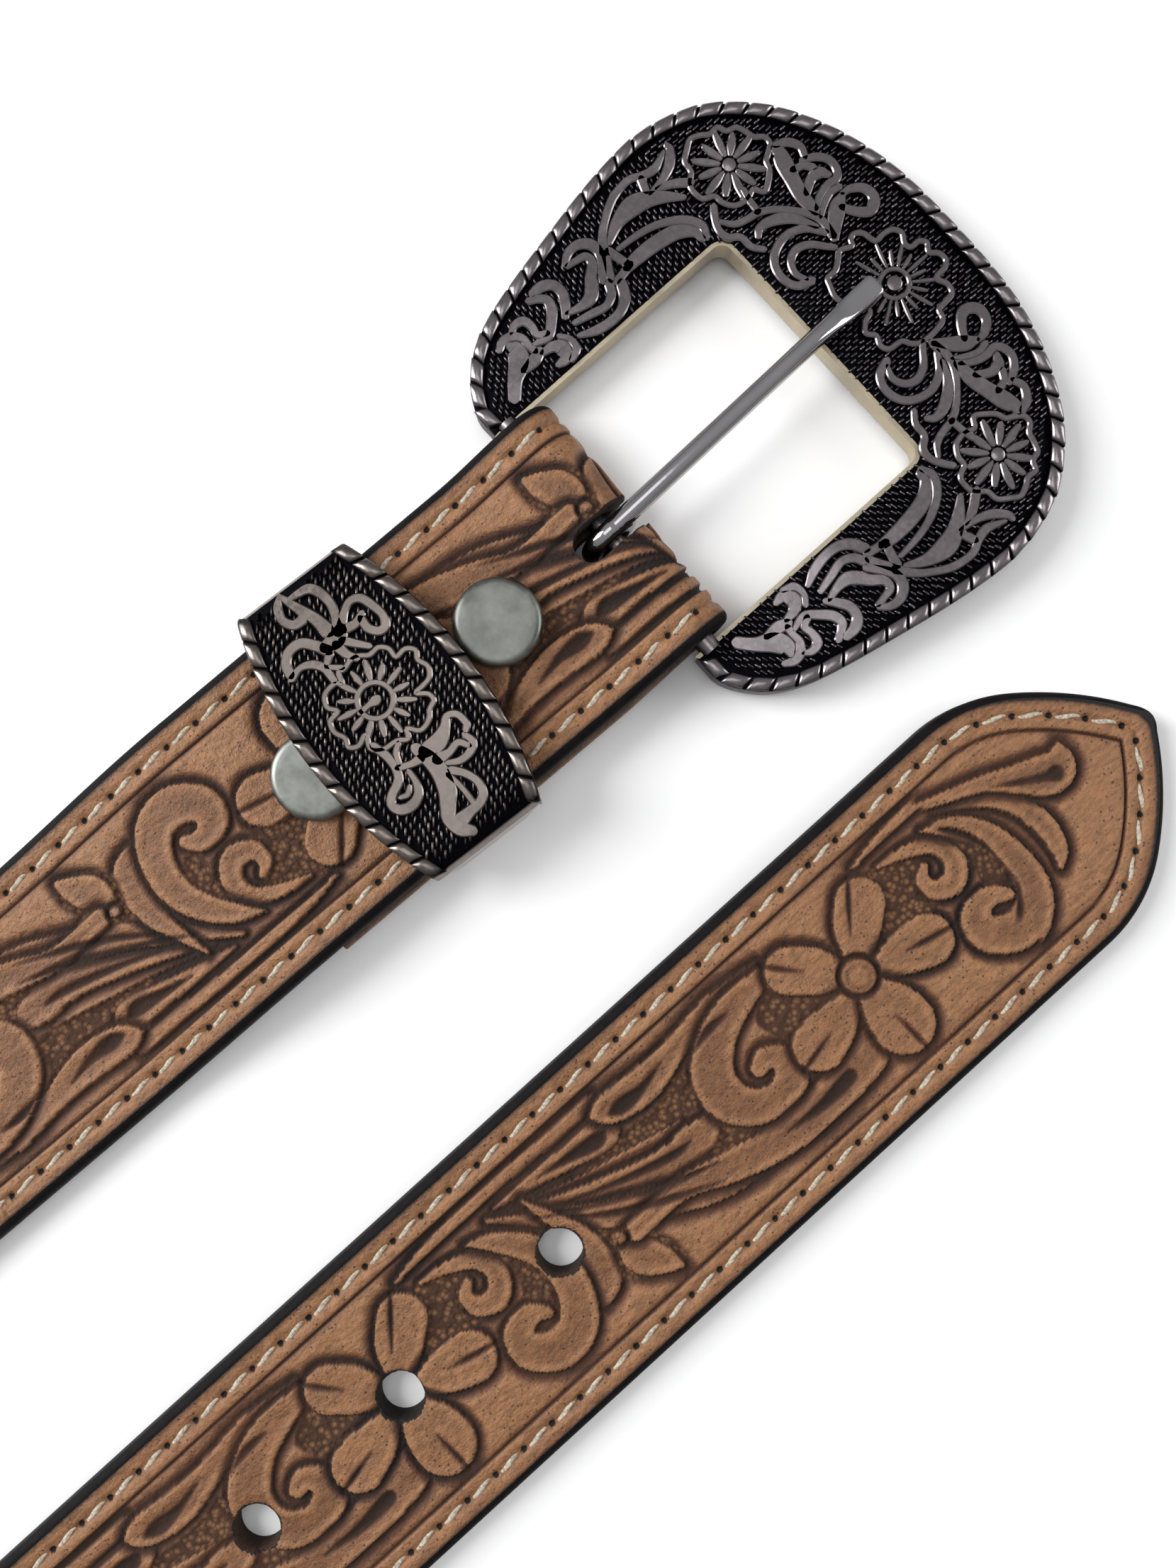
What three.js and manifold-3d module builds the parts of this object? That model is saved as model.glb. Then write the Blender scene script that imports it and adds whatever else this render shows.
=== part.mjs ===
// A western belt: a leather strap folded round a cast buckle's bar, a prong, a metal keeper and two snaps.
// Millimetres, +Z up. The buckle's bar lies along Y; +X runs from the bar towards the buckle's far rim.
import * as THREE from 'three';
import { mergeVertices } from 'three/addons/utils/BufferGeometryUtils.js';
import Module from 'manifold-3d';

const wasm = await Module();
wasm.setup();

// Strap
const STRAP_WIDTH = 37.6;
const STRAP_THICKNESS = 4.0;
const FOLD_THICKNESS = 3.4;
const FLAP_THICKNESS = 2.5;
const EDGE_BEVEL = 0.8;
const BELT_LENGTH = 1070;
const FLAP_LENGTH = 62;
const SHOULDER_RADIUS = 21;
const SHOULDER_ANGLE = THREE.MathUtils.degToRad(37);
const NOSE_RADIUS = 4.2;
const NOSE_ANGLE = THREE.MathUtils.degToRad(58);

// Punched holes, counted from the tip
const HOLE_DIAMETER = 6.1;
const FIRST_HOLE = 105.5;
const HOLE_STEPS = [27.8, 24.9, 26.4, 26.4];

// How the belt lies
const TIP_REACH = 37.8;
const BRANCH_GAP = 65.7;
const BRANCH_SPLAY = THREE.MathUtils.degToRad(1.6);
const FLAT_RUN = 190;
const TWIST_RUN = 140;
const LAYER_GAP = 0.3;
const SETTLE_RUN = 35;
const FOLD_RUN = 14;

// Clearances
const CLEAR = 0.3;
const FOLD_SLACK = 0.65;
const BUCKLE_SIDE_GAP = 0.95;
const KEEPER_SIDE_GAP = 0.85;

// Buckle frame
const BAR_RADIUS = 1.5;
const BUCKLE_REACH = 62.7;
const BUCKLE_ARM = 18.45;
const WINDOW_REACH = 38.3;
const WINDOW_FILLET = 1.8;
const GROUND_HEIGHT = 5.2;
const RELIEF_HEIGHT = 0.8;
const FOOT_HEIGHT = 1.4;
const FOOT_INSET = 1.2;
const FOOT_WIDTH = 6.0;
const ROPE_WIDTH = 1.9;
const ROPE_TURNS = 58;
const ROPE_NOTCH = 0.4;
const BAR_SEAT = 0.8;

// Prong
const PRONG_WIRE_RADIUS = 1.35;
const PRONG_REACH = 48.8;
const PRONG_FLAT_LENGTH = 8.5;
const PRONG_FLAT_WIDTH = 3.2;
const PRONG_FLAT_THICKNESS = 1.2;
const PRONG_TURN = THREE.MathUtils.degToRad(1.3);
const SLOT_SIDE_GAP = 1.1;
const SLOT_END_GAP = 1.0;

// Keeper
const KEEPER_PLACE = 36.9;
const KEEPER_TURN = THREE.MathUtils.degToRad(-2.6);
const KEEPER_BULGE_LENGTH = 24.4;
const KEEPER_END_LENGTH = 16.6;
const KEEPER_WALL = 1.4;
const KEEPER_PLATE = 1.4;
const KEEPER_BACK = 1.0;
const KEEPER_BACK_LENGTH = 10;
const KEEPER_ROPE_TURNS = 12;

// Snaps
const SNAP_PLACES = [18.9, 49.5];
const CAP_RADIUS = 5.9;
const CAP_HEIGHT = 1.7;
const POST_RADIUS = 1.6;
const POST_HEAD_RADIUS = 4.2;
const POST_HEAD_THICKNESS = 0.7;

// Heights that follow from the sizes above
const FOLD_INNER = BAR_RADIUS + FOLD_SLACK;
const BAR_HEIGHT = FLAP_THICKNESS + FOLD_INNER;
const FLAP_BOTTOM = KEEPER_BACK + CLEAR;
const FLAP_TOP = FLAP_BOTTOM + FLAP_THICKNESS;
const UPPER_BOTTOM = FLAP_TOP + LAYER_GAP;
const STACK_TOP = UPPER_BOTTOM + STRAP_THICKNESS;
const RELIEF_TOP = GROUND_HEIGHT + RELIEF_HEIGHT;
const CAP_TOP = STACK_TOP + CLEAR + CAP_HEIGHT;
const PLATE_BOTTOM = CAP_TOP + CLEAR;
const PLATE_GROUND = PLATE_BOTTOM + KEEPER_PLATE;
const PLATE_TOP = PLATE_GROUND + RELIEF_HEIGHT;
const WINDOW_HALF = STRAP_WIDTH / 2 + BUCKLE_SIDE_GAP;
const SLOT_HALF = PRONG_WIRE_RADIUS + SLOT_SIDE_GAP;
const PRONG_RING_RADIUS = BAR_RADIUS + CLEAR + PRONG_WIRE_RADIUS;
const SLOT_END = PRONG_RING_RADIUS + PRONG_WIRE_RADIUS + SLOT_END_GAP;

const leather = new THREE.MeshStandardMaterial({ color: 0x9b7354, roughness: 0.55, metalness: 0 });
const darkNickel = new THREE.MeshStandardMaterial({ color: 0x4a464a, roughness: 0.35, metalness: 1 });
const darkChrome = new THREE.MeshStandardMaterial({ color: 0x6f6d70, roughness: 0.15, metalness: 1 });
const agedSilver = new THREE.MeshStandardMaterial({ color: 0x8d8380, roughness: 0.35, metalness: 1 });
const greyNickel = new THREE.MeshStandardMaterial({ color: 0x9a9c95, roughness: 0.5, metalness: 1 });

const smooth = (share) => {
  const x = Math.min(Math.max(share, 0), 1);
  return x * x * (3 - 2 * x);
};
const mix = (a, b, share) => a + (b - a) * share;

// A closed geometry as a solid that can be joined and cut
function toSolid(geometry) {
  const bare = geometry.clone();
  bare.deleteAttribute('normal');
  bare.deleteAttribute('uv');
  const merged = mergeVertices(bare, 1e-4);
  const mesh = new wasm.Mesh({
    numProp: 3,
    vertProperties: new Float32Array(merged.attributes.position.array),
    triVerts: new Uint32Array(merged.index.array),
  });
  return new wasm.Manifold(mesh);
}

function toMesh(name, solid, material) {
  const data = solid.getMesh();
  const geometry = new THREE.BufferGeometry();
  geometry.setAttribute('position', new THREE.BufferAttribute(new Float32Array(data.vertProperties), 3));
  geometry.setIndex(new THREE.BufferAttribute(new Uint32Array(data.triVerts), 1));
  geometry.computeVertexNormals();
  const mesh = new THREE.Mesh(geometry, material);
  mesh.name = name;
  return mesh;
}

// A closed body through rings of points, each ring with as many points, with flat ends
function loft(rings) {
  const count = rings[0].length;
  const positions = rings.flat().flatMap((p) => [p.x, p.y, p.z]);
  const index = [];
  for (let i = 0; i + 1 < rings.length; i += 1) {
    for (let j = 0; j < count; j += 1) {
      const a = i * count + j;
      const b = i * count + ((j + 1) % count);
      index.push(a, b, b + count, a, b + count, a + count);
    }
  }
  const last = (rings.length - 1) * count;
  for (let j = 1; j + 1 < count; j += 1) {
    index.push(0, j + 1, j);
    index.push(last, last + j, last + j + 1);
  }
  const geometry = new THREE.BufferGeometry();
  geometry.setAttribute('position', new THREE.Float32BufferAttribute(positions, 3));
  geometry.setIndex(index);
  return geometry;
}

function prism(points, low, high) {
  const shape = new THREE.Shape(points);
  const geometry = new THREE.ExtrudeGeometry(shape, { depth: high - low, bevelEnabled: false, steps: 1 });
  return geometry.translate(0, 0, low);
}

function cylinder(radius, low, high, sides, x = 0, y = 0) {
  const geometry = new THREE.CylinderGeometry(radius, radius, high - low, sides);
  return geometry.rotateX(Math.PI / 2).translate(x, y, (low + high) / 2);
}

// Joins closed geometries into one solid
const join = (geometries) => geometries.map(toSolid).reduce((all, next) => all.add(next));

// Plan of the belt: the buckle's branch leaves the bar, one half circle turns it back, the tip's branch ends it
const plan = (() => {
  const sine = Math.sin(BRANCH_SPLAY);
  const cosine = Math.cos(BRANCH_SPLAY);
  const turn = Math.PI + BRANCH_SPLAY;
  const share = (turn + sine) / (1 + cosine);
  const buckleRun = (BELT_LENGTH - TIP_REACH - BRANCH_GAP * share) / (1 + cosine + sine * share);
  const radius = (BRANCH_GAP + buckleRun * sine) / (1 + cosine);
  const arcRun = radius * turn;
  const arcStart = new THREE.Vector2(-buckleRun * cosine, buckleRun * sine);
  const centre = arcStart.clone().add(new THREE.Vector2(-sine, -cosine).multiplyScalar(radius));
  return { buckleRun, radius, arcRun, centre };
})();

// Place and heading of the belt's centre line, a run's length away from the bar
function planAt(run) {
  const start = Math.PI - BRANCH_SPLAY;
  if (run <= plan.buckleRun) {
    return { x: run * Math.cos(start), y: run * Math.sin(start), heading: start };
  }
  if (run <= plan.buckleRun + plan.arcRun) {
    const heading = start + (run - plan.buckleRun) / plan.radius;
    const x = plan.centre.x + plan.radius * Math.sin(heading);
    const y = plan.centre.y - plan.radius * Math.cos(heading);
    return { x, y, heading };
  }
  const left = BELT_LENGTH - run;
  return { x: TIP_REACH - left, y: -BRANCH_GAP, heading: 2 * Math.PI };
}

// The strap lies flat at both ends and stands on its edge between them
function rollAt(run) {
  const fromBuckle = (run - FLAT_RUN) / TWIST_RUN;
  const fromTip = (BELT_LENGTH - TIP_REACH - FLAT_RUN - run) / TWIST_RUN;
  return smooth(Math.min(fromBuckle, fromTip)) * Math.PI / 2;
}

// Half width near the tip: three arcs, a round shoulder, a bowed flank and a round nose
function halfWidthAt(fromTip) {
  const full = STRAP_WIDTH / 2;
  const noseSine = Math.sin(NOSE_ANGLE);
  const noseCosine = Math.cos(NOSE_ANGLE);
  const noseEnd = NOSE_RADIUS * (1 - noseSine);
  const noseHalf = NOSE_RADIUS * noseCosine;
  const flankHalf = full - SHOULDER_RADIUS * (1 - Math.cos(SHOULDER_ANGLE));
  const flankRadius = (flankHalf - noseHalf) / (Math.cos(SHOULDER_ANGLE) - noseCosine);
  const flankEnd = noseEnd + flankRadius * (noseSine - Math.sin(SHOULDER_ANGLE));
  const pointLength = flankEnd + SHOULDER_RADIUS * Math.sin(SHOULDER_ANGLE);
  if (fromTip >= pointLength) return full;
  if (fromTip > flankEnd) {
    const back = pointLength - fromTip;
    return full - SHOULDER_RADIUS + Math.sqrt(SHOULDER_RADIUS ** 2 - back ** 2);
  }
  if (fromTip > noseEnd) {
    const sine = noseSine - (fromTip - noseEnd) / flankRadius;
    return noseHalf + flankRadius * (Math.sqrt(1 - sine ** 2) - noseCosine);
  }
  return Math.sqrt(Math.max(NOSE_RADIUS ** 2 - (NOSE_RADIUS - fromTip) ** 2, 0));
}

// One bevelled section of the strap: centre of its thickness, its width's direction and its face's normal
function strapSection(centre, across, normal, half, thickness) {
  const bevel = Math.min(EDGE_BEVEL, half / 2, thickness / 3);
  const t = thickness / 2;
  const corners = [
    [-half + bevel, -t], [half - bevel, -t], [half, -t + bevel], [half, t - bevel],
    [half - bevel, t], [-half + bevel, t], [-half, t - bevel], [-half, -t + bevel],
  ];
  return corners.map(([w, n]) => centre.clone().addScaledVector(across, w).addScaledVector(normal, n));
}

function beltSection(run, half = STRAP_WIDTH / 2) {
  const { x, y, heading } = planAt(run);
  const roll = rollAt(run);
  const outward = new THREE.Vector3(Math.sin(heading), -Math.cos(heading), 0);
  const up = new THREE.Vector3(0, 0, 1);
  const normal = up.clone().multiplyScalar(Math.cos(roll)).addScaledVector(outward, Math.sin(roll));
  const across = outward.clone().multiplyScalar(-Math.cos(roll)).addScaledVector(up, Math.sin(roll));
  const lift = UPPER_BOTTOM * (1 - smooth((run - FLAP_LENGTH) / SETTLE_RUN));
  const stand = (STRAP_WIDTH / 2) * Math.sin(roll) + (STRAP_THICKNESS / 2) * Math.cos(roll);
  const centre = new THREE.Vector3(x, y, lift + stand);
  return strapSection(centre, across, normal, half, STRAP_THICKNESS);
}

// Flap and fold: each row is the run from the bar and the height of the leather's inner face
function foldSections() {
  const sections = [];
  const along = new THREE.Vector2(-Math.cos(BRANCH_SPLAY), Math.sin(BRANCH_SPLAY));
  const across = new THREE.Vector3(-along.y, along.x, 0);
  const half = STRAP_WIDTH / 2;
  const place = (run, height, tilt, thickness) => {
    const normal = new THREE.Vector3(-along.x * Math.cos(tilt), -along.y * Math.cos(tilt), Math.sin(tilt));
    const inner = new THREE.Vector3(along.x * run, along.y * run, height);
    const centre = inner.addScaledVector(normal, thickness / 2);
    sections.push(strapSection(centre, across, normal, half, thickness));
  };
  const down = -Math.PI / 2;
  const steps = 5;
  const under = BAR_HEIGHT - FOLD_INNER;
  place(FLAP_LENGTH, FLAP_TOP, down, FLAP_THICKNESS);
  for (let i = 0; i < steps; i += 1) {
    const share = i / steps;
    place(FOLD_RUN * (1 - share), mix(FLAP_TOP, under, smooth(share)), down, FLAP_THICKNESS);
  }
  const foldSteps = 10;
  for (let i = 0; i <= foldSteps; i += 1) {
    const share = i / foldSteps;
    const tilt = mix(down, -down, share);
    const run = -FOLD_INNER * Math.cos(tilt);
    place(run, BAR_HEIGHT + FOLD_INNER * Math.sin(tilt), tilt, mix(FLAP_THICKNESS, FOLD_THICKNESS, share));
  }
  for (let i = 1; i <= steps; i += 1) {
    const share = i / steps;
    const height = mix(BAR_HEIGHT + FOLD_INNER, UPPER_BOTTOM, smooth(share));
    place(FOLD_RUN * share, height, -down, mix(FOLD_THICKNESS, STRAP_THICKNESS, smooth(share)));
  }
  return sections;
}

// Runs of the sections between the fold and the tip, closer where the strap bends, turns or narrows
function beltRuns() {
  const runs = [];
  const spread = (from, to, count) => {
    for (let i = 0; i < count; i += 1) runs.push(mix(from, to, i / count));
  };
  const tipTwistStart = BELT_LENGTH - TIP_REACH - FLAT_RUN;
  const pointStart = BELT_LENGTH - SHOULDER_RADIUS - NOSE_RADIUS - 6;
  spread(FLAP_LENGTH, FLAP_LENGTH + SETTLE_RUN, 7);
  spread(FLAP_LENGTH + SETTLE_RUN, FLAT_RUN, 2);
  spread(FLAT_RUN, FLAT_RUN + TWIST_RUN, 14);
  spread(FLAT_RUN + TWIST_RUN, plan.buckleRun, 3);
  spread(plan.buckleRun, plan.buckleRun + plan.arcRun, 24);
  spread(plan.buckleRun + plan.arcRun, tipTwistStart - TWIST_RUN, 3);
  spread(tipTwistStart - TWIST_RUN, tipTwistStart, 14);
  spread(tipTwistStart, pointStart, 3);
  spread(pointStart, BELT_LENGTH - NOSE_RADIUS / 2, 14);
  spread(BELT_LENGTH - NOSE_RADIUS / 2, BELT_LENGTH - NOSE_RADIUS / 20, 4);
  runs.push(BELT_LENGTH - NOSE_RADIUS / 20);
  return runs;
}

const snapPoint = (run) => planAt(run);

function makeStrap() {
  const belt = beltRuns().map((run) => beltSection(run, halfWidthAt(BELT_LENGTH - run)));
  let strap = toSolid(loft([...foldSections(), ...belt]));
  let fromTip = FIRST_HOLE;
  const holeSides = 20;
  for (const step of [0, ...HOLE_STEPS]) {
    fromTip += step;
    const { x, y } = planAt(BELT_LENGTH - fromTip);
    strap = strap.subtract(toSolid(cylinder(HOLE_DIAMETER / 2, -1, STRAP_THICKNESS + 1, holeSides, x, y)));
  }
  const foldTop = BAR_HEIGHT + FOLD_INNER + FOLD_THICKNESS;
  const slotRound = cylinder(SLOT_HALF, -1, foldTop + 1, holeSides, SLOT_HALF - SLOT_END, 0);
  const slotReach = FOLD_INNER + FOLD_THICKNESS + 1;
  const slotBox = prism([
    new THREE.Vector2(SLOT_HALF - SLOT_END, -SLOT_HALF), new THREE.Vector2(slotReach, -SLOT_HALF),
    new THREE.Vector2(slotReach, SLOT_HALF), new THREE.Vector2(SLOT_HALF - SLOT_END, SLOT_HALF),
  ], -1, foldTop + 1);
  strap = strap.subtract(join([slotRound, slotBox]));
  for (const run of SNAP_PLACES) {
    const { x, y } = snapPoint(run);
    strap = strap.subtract(toSolid(cylinder(POST_RADIUS + CLEAR, 0, STACK_TOP + 1, 14, x, y)));
  }
  return toMesh('strap', strap, leather);
}

// The buckle's ornament was charted round a window of this half width. A place on the chart keeps its distance
// from the window's side, or its share of the window's width.
const CHART_WINDOW_HALF = 19.75;
const CHART_HALF_WIDTH = CHART_WINDOW_HALF + BUCKLE_ARM;
function acrossAt(charted) {
  const size = Math.abs(charted);
  const inside = Math.min(size, CHART_WINDOW_HALF) * (WINDOW_HALF / CHART_WINDOW_HALF);
  return Math.sign(charted) * (inside + Math.max(size - CHART_WINDOW_HALF, 0));
}

// Outer edge of the buckle's upper half, from the tail beside the fold to the middle of the far rim,
// as shares of the reach from the bar and of the half width
const BUCKLE_EDGE = [
  { along: -0.036, across: 0.545 },
  { along: -0.033, across: 0.636 },
  { along: 0.002, across: 0.73 },
  { along: 0.054, across: 0.804 },
  { along: 0.123, across: 0.856 },
  { along: 0.219, across: 0.898 },
  { along: 0.332, across: 0.937 },
  { along: 0.437, across: 0.971 },
  { along: 0.526, across: 0.992 },
  { along: 0.606, across: 1.0 },
  { along: 0.689, across: 0.979 },
  { along: 0.769, across: 0.929 },
  { along: 0.834, across: 0.848 },
  { along: 0.89, across: 0.743 },
  { along: 0.939, across: 0.597 },
  { along: 0.973, across: 0.44 },
  { along: 0.994, across: 0.259 },
  { along: 1.0, across: 0.0 },
];

const buckleEdge = (() => {
  const half = BUCKLE_EDGE.map(({ along, across }) => (
    new THREE.Vector2(along * BUCKLE_REACH, acrossAt(across * CHART_HALF_WIDTH))
  ));
  const other = half.slice(0, -1).reverse().map((p) => new THREE.Vector2(p.x, -p.y));
  return new THREE.SplineCurve([...half, ...other]);
})();

const EDGE_STEPS = 56;

// A point inside an edge that runs clockwise, a depth in from it
function insetPoint(curve, share, depth) {
  const clamped = Math.min(Math.max(share, 0), 1);
  const tangent = curve.getTangentAt(clamped);
  return curve.getPointAt(clamped).add(new THREE.Vector2(tangent.y, -tangent.x).multiplyScalar(depth));
}

// The frame's outline: the outer edge, and the window, which is open at the bar
function frameOutline() {
  const points = buckleEdge.getSpacedPoints(EDGE_STEPS);
  const half = WINDOW_HALF;
  const reach = WINDOW_REACH;
  const tail = points[0].x;
  points.push(new THREE.Vector2(tail, -half));
  const cornerSteps = 4;
  for (const side of [-1, 1]) {
    for (let i = 0; i <= cornerSteps; i += 1) {
      const angle = (side < 0 ? -Math.PI / 2 : 0) + (i / cornerSteps) * Math.PI / 2;
      const x = reach - WINDOW_FILLET + WINDOW_FILLET * Math.cos(angle);
      points.push(new THREE.Vector2(x, side * (half - WINDOW_FILLET) + WINDOW_FILLET * Math.sin(angle)));
    }
  }
  points.push(new THREE.Vector2(tail, half));
  return points;
}

// A ring along the edge, between two depths
function edgeBand(curve, outer, inner, steps, low, high, from = 0, to = 1) {
  const outside = [];
  const inside = [];
  for (let i = 0; i <= steps; i += 1) {
    const share = mix(from, to, i / steps);
    outside.push(insetPoint(curve, share, outer));
    inside.unshift(insetPoint(curve, share, inner));
  }
  return prism([...outside, ...inside], low, high);
}

// Slanted turns of a cast rope along an edge; a lean below 0 leaves their inner ends behind
function ropeTurns(curve, turns, low, high, lean, inset = 0) {
  const blocks = [];
  const gap = 0.12;
  for (let i = 0; i < turns; i += 1) {
    const corner = (step, depth) => insetPoint(curve, (i + step) / turns, depth);
    const outer = inset + 0.15;
    const inner = inset + ROPE_WIDTH - 0.15;
    const first = i === 0 ? 0 : lean;
    const last = i === turns - 1 ? 0 : lean;
    blocks.push(prism([
      corner(gap, outer), corner(1 - gap, outer),
      corner(1 - gap + last, inner), corner(gap + first, inner),
    ], low, high));
  }
  return blocks;
}

// A flat-topped ornament with a tapering width; each row is its place and half width
function ornament(rows, low, high, steps = 3) {
  const spine = new THREE.SplineCurve(rows.map(([x, y]) => new THREE.Vector2(x, y)));
  const count = (rows.length - 1) * steps;
  const rings = [];
  for (let i = 0; i <= count; i += 1) {
    const share = i / count;
    const row = Math.min(Math.floor(share * (rows.length - 1)), rows.length - 2);
    const half = mix(rows[row][2], rows[row + 1][2], share * (rows.length - 1) - row);
    const centre = spine.getPoint(share);
    const tangent = spine.getTangent(share);
    const left = new THREE.Vector2(-tangent.y, tangent.x).multiplyScalar(half);
    const corner = (side, z) => new THREE.Vector3(centre.x + side * left.x, centre.y + side * left.y, z);
    rings.push([corner(1, high), corner(-1, high), corner(-1, low), corner(1, low)]);
  }
  return loft(rings);
}

function rosette(x, y, radius, lobes, low, high, turn = 0) {
  const points = [];
  const steps = lobes * 4;
  for (let i = 0; i < steps; i += 1) {
    const angle = turn + (i / steps) * 2 * Math.PI;
    const reach = radius * (0.88 + 0.12 * Math.cos(lobes * (angle - turn)));
    points.push(new THREE.Vector2(x + reach * Math.cos(angle), y + reach * Math.sin(angle)));
  }
  return prism(points, low, high);
}

// Scrolls and leaves on the buckle's lower half, mirrored on the upper one: x, y and half width
const BUCKLE_SCROLLS = [
  [[2.9, -22.4, 0.6], [5.0, -24.9, 1.1], [7.2, -26.8, 1.0]],
  [[6.1, -28.4, 0.4], [8.2, -28.7, 0.6], [9.0, -26.8, 0.6], [9.2, -25.2, 0.7]],
  [[9.4, -24.7, 0.6], [12.0, -23.8, 0.7], [12.8, -22.2, 0.8], [10.8, -21.4, 0.5]],
  [[9.6, -25.9, 0.4], [13.2, -25.7, 0.6], [15.6, -28.2, 0.9], [13.4, -30.4, 0.5]],
  [[15.4, -22.7, 0.5], [19.8, -21.3, 0.9], [23.2, -23.2, 1.0], [24.2, -25.0, 0.8]],
  [[15.8, -26.0, 0.4], [20.0, -25.4, 1.1], [23.2, -28.4, 1.0], [22.6, -31.4, 0.8], [20.2, -31.2, 0.4]],
  [[25.6, -25.8, 0.6], [30.5, -25.3, 0.9], [34.8, -24.2, 0.9], [36.2, -21.4, 0.4]],
  [[25.2, -28.4, 0.7], [30.5, -30.4, 1.4], [34.5, -29.6, 1.2], [38.4, -27.6, 0.6]],
  [[25.4, -30.2, 0.4], [29.5, -33.0, 0.5], [34.0, -34.0, 0.6], [39.4, -33.2, 0.6]],
  [[41.0, -15.0, 0.5], [40.2, -18.0, 0.5], [38.8, -20.6, 0.5], [39.4, -23.4, 0.5]],
  [[42.0, -16.6, 0.5], [45.0, -17.0, 0.7], [48.6, -13.4, 0.6], [49.2, -9.4, 0.7]],
  [[49.4, -14.2, 0.7], [50.2, -18.6, 1.1], [51.5, -22.8, 0.9]],
  [[50.6, -15.2, 0.4], [55.0, -16.2, 0.7], [55.0, -19.4, 0.6], [53.6, -21.2, 0.6], [52.4, -23.6, 0.5]],
  [[42.6, -7.6, 0.6], [40.3, -10.2, 0.6], [42.4, -13.8, 0.6], [46.0, -14.2, 0.6], [48.9, -11.4, 0.5]],
  [[49.6, -9.8, 0.5], [53.2, -12.6, 1.1], [56.5, -11.8, 0.8], [56.2, -9.4, 0.7]],
];
const BUCKLE_ROSETTES = [
  { x: 51.2, y: 0, radius: 7.4, lobes: 8 },
  { x: 45.6, y: -26.6, radius: 6.4, lobes: 8 },
  { x: 45.6, y: 26.6, radius: 6.4, lobes: 8 },
];
const BUTTON_SHARE = 0.28;

function makeBuckleFrame() {
  const raised = GROUND_HEIGHT - 0.2;
  const ropeLow = RELIEF_TOP - ROPE_NOTCH;
  const pieces = [
    prism(frameOutline(), FOOT_HEIGHT, GROUND_HEIGHT),
    edgeBand(buckleEdge, FOOT_INSET, FOOT_INSET + FOOT_WIDTH, EDGE_STEPS, 0, FOOT_HEIGHT + 0.1, 0.03, 0.97),
    edgeBand(buckleEdge, 0.05, ROPE_WIDTH, EDGE_STEPS, raised, ropeLow, 0.004, 0.996),
    ...ropeTurns(buckleEdge, ROPE_TURNS, ropeLow - 0.1, RELIEF_TOP, -0.35),
  ];
  const barLength = 2 * (WINDOW_HALF + BAR_SEAT);
  pieces.push(new THREE.CylinderGeometry(BAR_RADIUS, BAR_RADIUS, barLength, 12).translate(0, 0, BAR_HEIGHT));
  for (const rows of BUCKLE_SCROLLS) {
    const lower = rows.map(([x, y, half]) => [x, acrossAt(y), half]);
    pieces.push(ornament(lower, raised, RELIEF_TOP));
    const upper = lower.map(([x, y, half]) => [x, -y, half]).reverse();
    pieces.push(ornament(upper, raised, RELIEF_TOP));
  }
  let frame = join(pieces);
  for (const { x, y: charted, radius, lobes } of BUCKLE_ROSETTES) {
    const y = acrossAt(charted);
    const groove = radius * (BUTTON_SHARE + 0.1);
    const flower = toSolid(rosette(x, y, radius, lobes, raised, RELIEF_TOP))
      .subtract(toSolid(cylinder(groove, RELIEF_TOP - 0.5, RELIEF_TOP + 1, 12, x, y)))
      .add(toSolid(cylinder(radius * BUTTON_SHARE, raised, RELIEF_TOP, 12, x, y)));
    frame = frame.add(flower);
  }
  return toMesh('buckle_frame', frame, darkNickel);
}

// The prong: a ring round the bar and a wire that ends in a flat tip on the rim
function makeProng() {
  const ring = new THREE.TorusGeometry(PRONG_RING_RADIUS, PRONG_WIRE_RADIUS, 10, 18)
    .rotateX(Math.PI / 2).translate(0, 0, BAR_HEIGHT);
  const top = BAR_HEIGHT + PRONG_RING_RADIUS;
  const tipBottom = RELIEF_TOP + CLEAR;
  const tipMiddle = tipBottom + PRONG_FLAT_THICKNESS / 2;
  const flatStart = PRONG_REACH - PRONG_FLAT_LENGTH;
  const wireEnd = Math.max(top, tipBottom + PRONG_WIRE_RADIUS);
  const flatHalf = PRONG_FLAT_WIDTH / 2;
  const thin = PRONG_FLAT_THICKNESS / 2;
  const wire = PRONG_WIRE_RADIUS;
  const stations = [
    { x: -0.6, z: top, half: wire * 0.9, rise: wire * 0.9 },
    { x: 6, z: top, half: wire, rise: wire },
    { x: flatStart - 6, z: wireEnd, half: wire, rise: wire },
    { x: flatStart, z: mix(wireEnd, tipMiddle, 0.35), half: wire, rise: mix(wire, thin, 0.3) },
    { x: mix(flatStart, PRONG_REACH, 0.5), z: tipMiddle + 0.1, half: mix(wire, flatHalf, 0.7), rise: thin * 1.15 },
    { x: PRONG_REACH - 1, z: tipMiddle, half: flatHalf, rise: thin },
    { x: PRONG_REACH, z: tipMiddle, half: flatHalf * 0.8, rise: thin * 0.75 },
  ];
  const sides = 10;
  const rings = stations.map(({ x, z, half, rise }) => Array.from({ length: sides }, (_, i) => {
    const angle = (i / sides) * 2 * Math.PI;
    return new THREE.Vector3(x, half * Math.cos(angle), z + rise * Math.sin(angle));
  }));
  const prong = join([ring, loft(rings)]);
  const mesh = toMesh('prong', prong, darkChrome);
  mesh.rotation.z = PRONG_TURN;
  return mesh;
}

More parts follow.
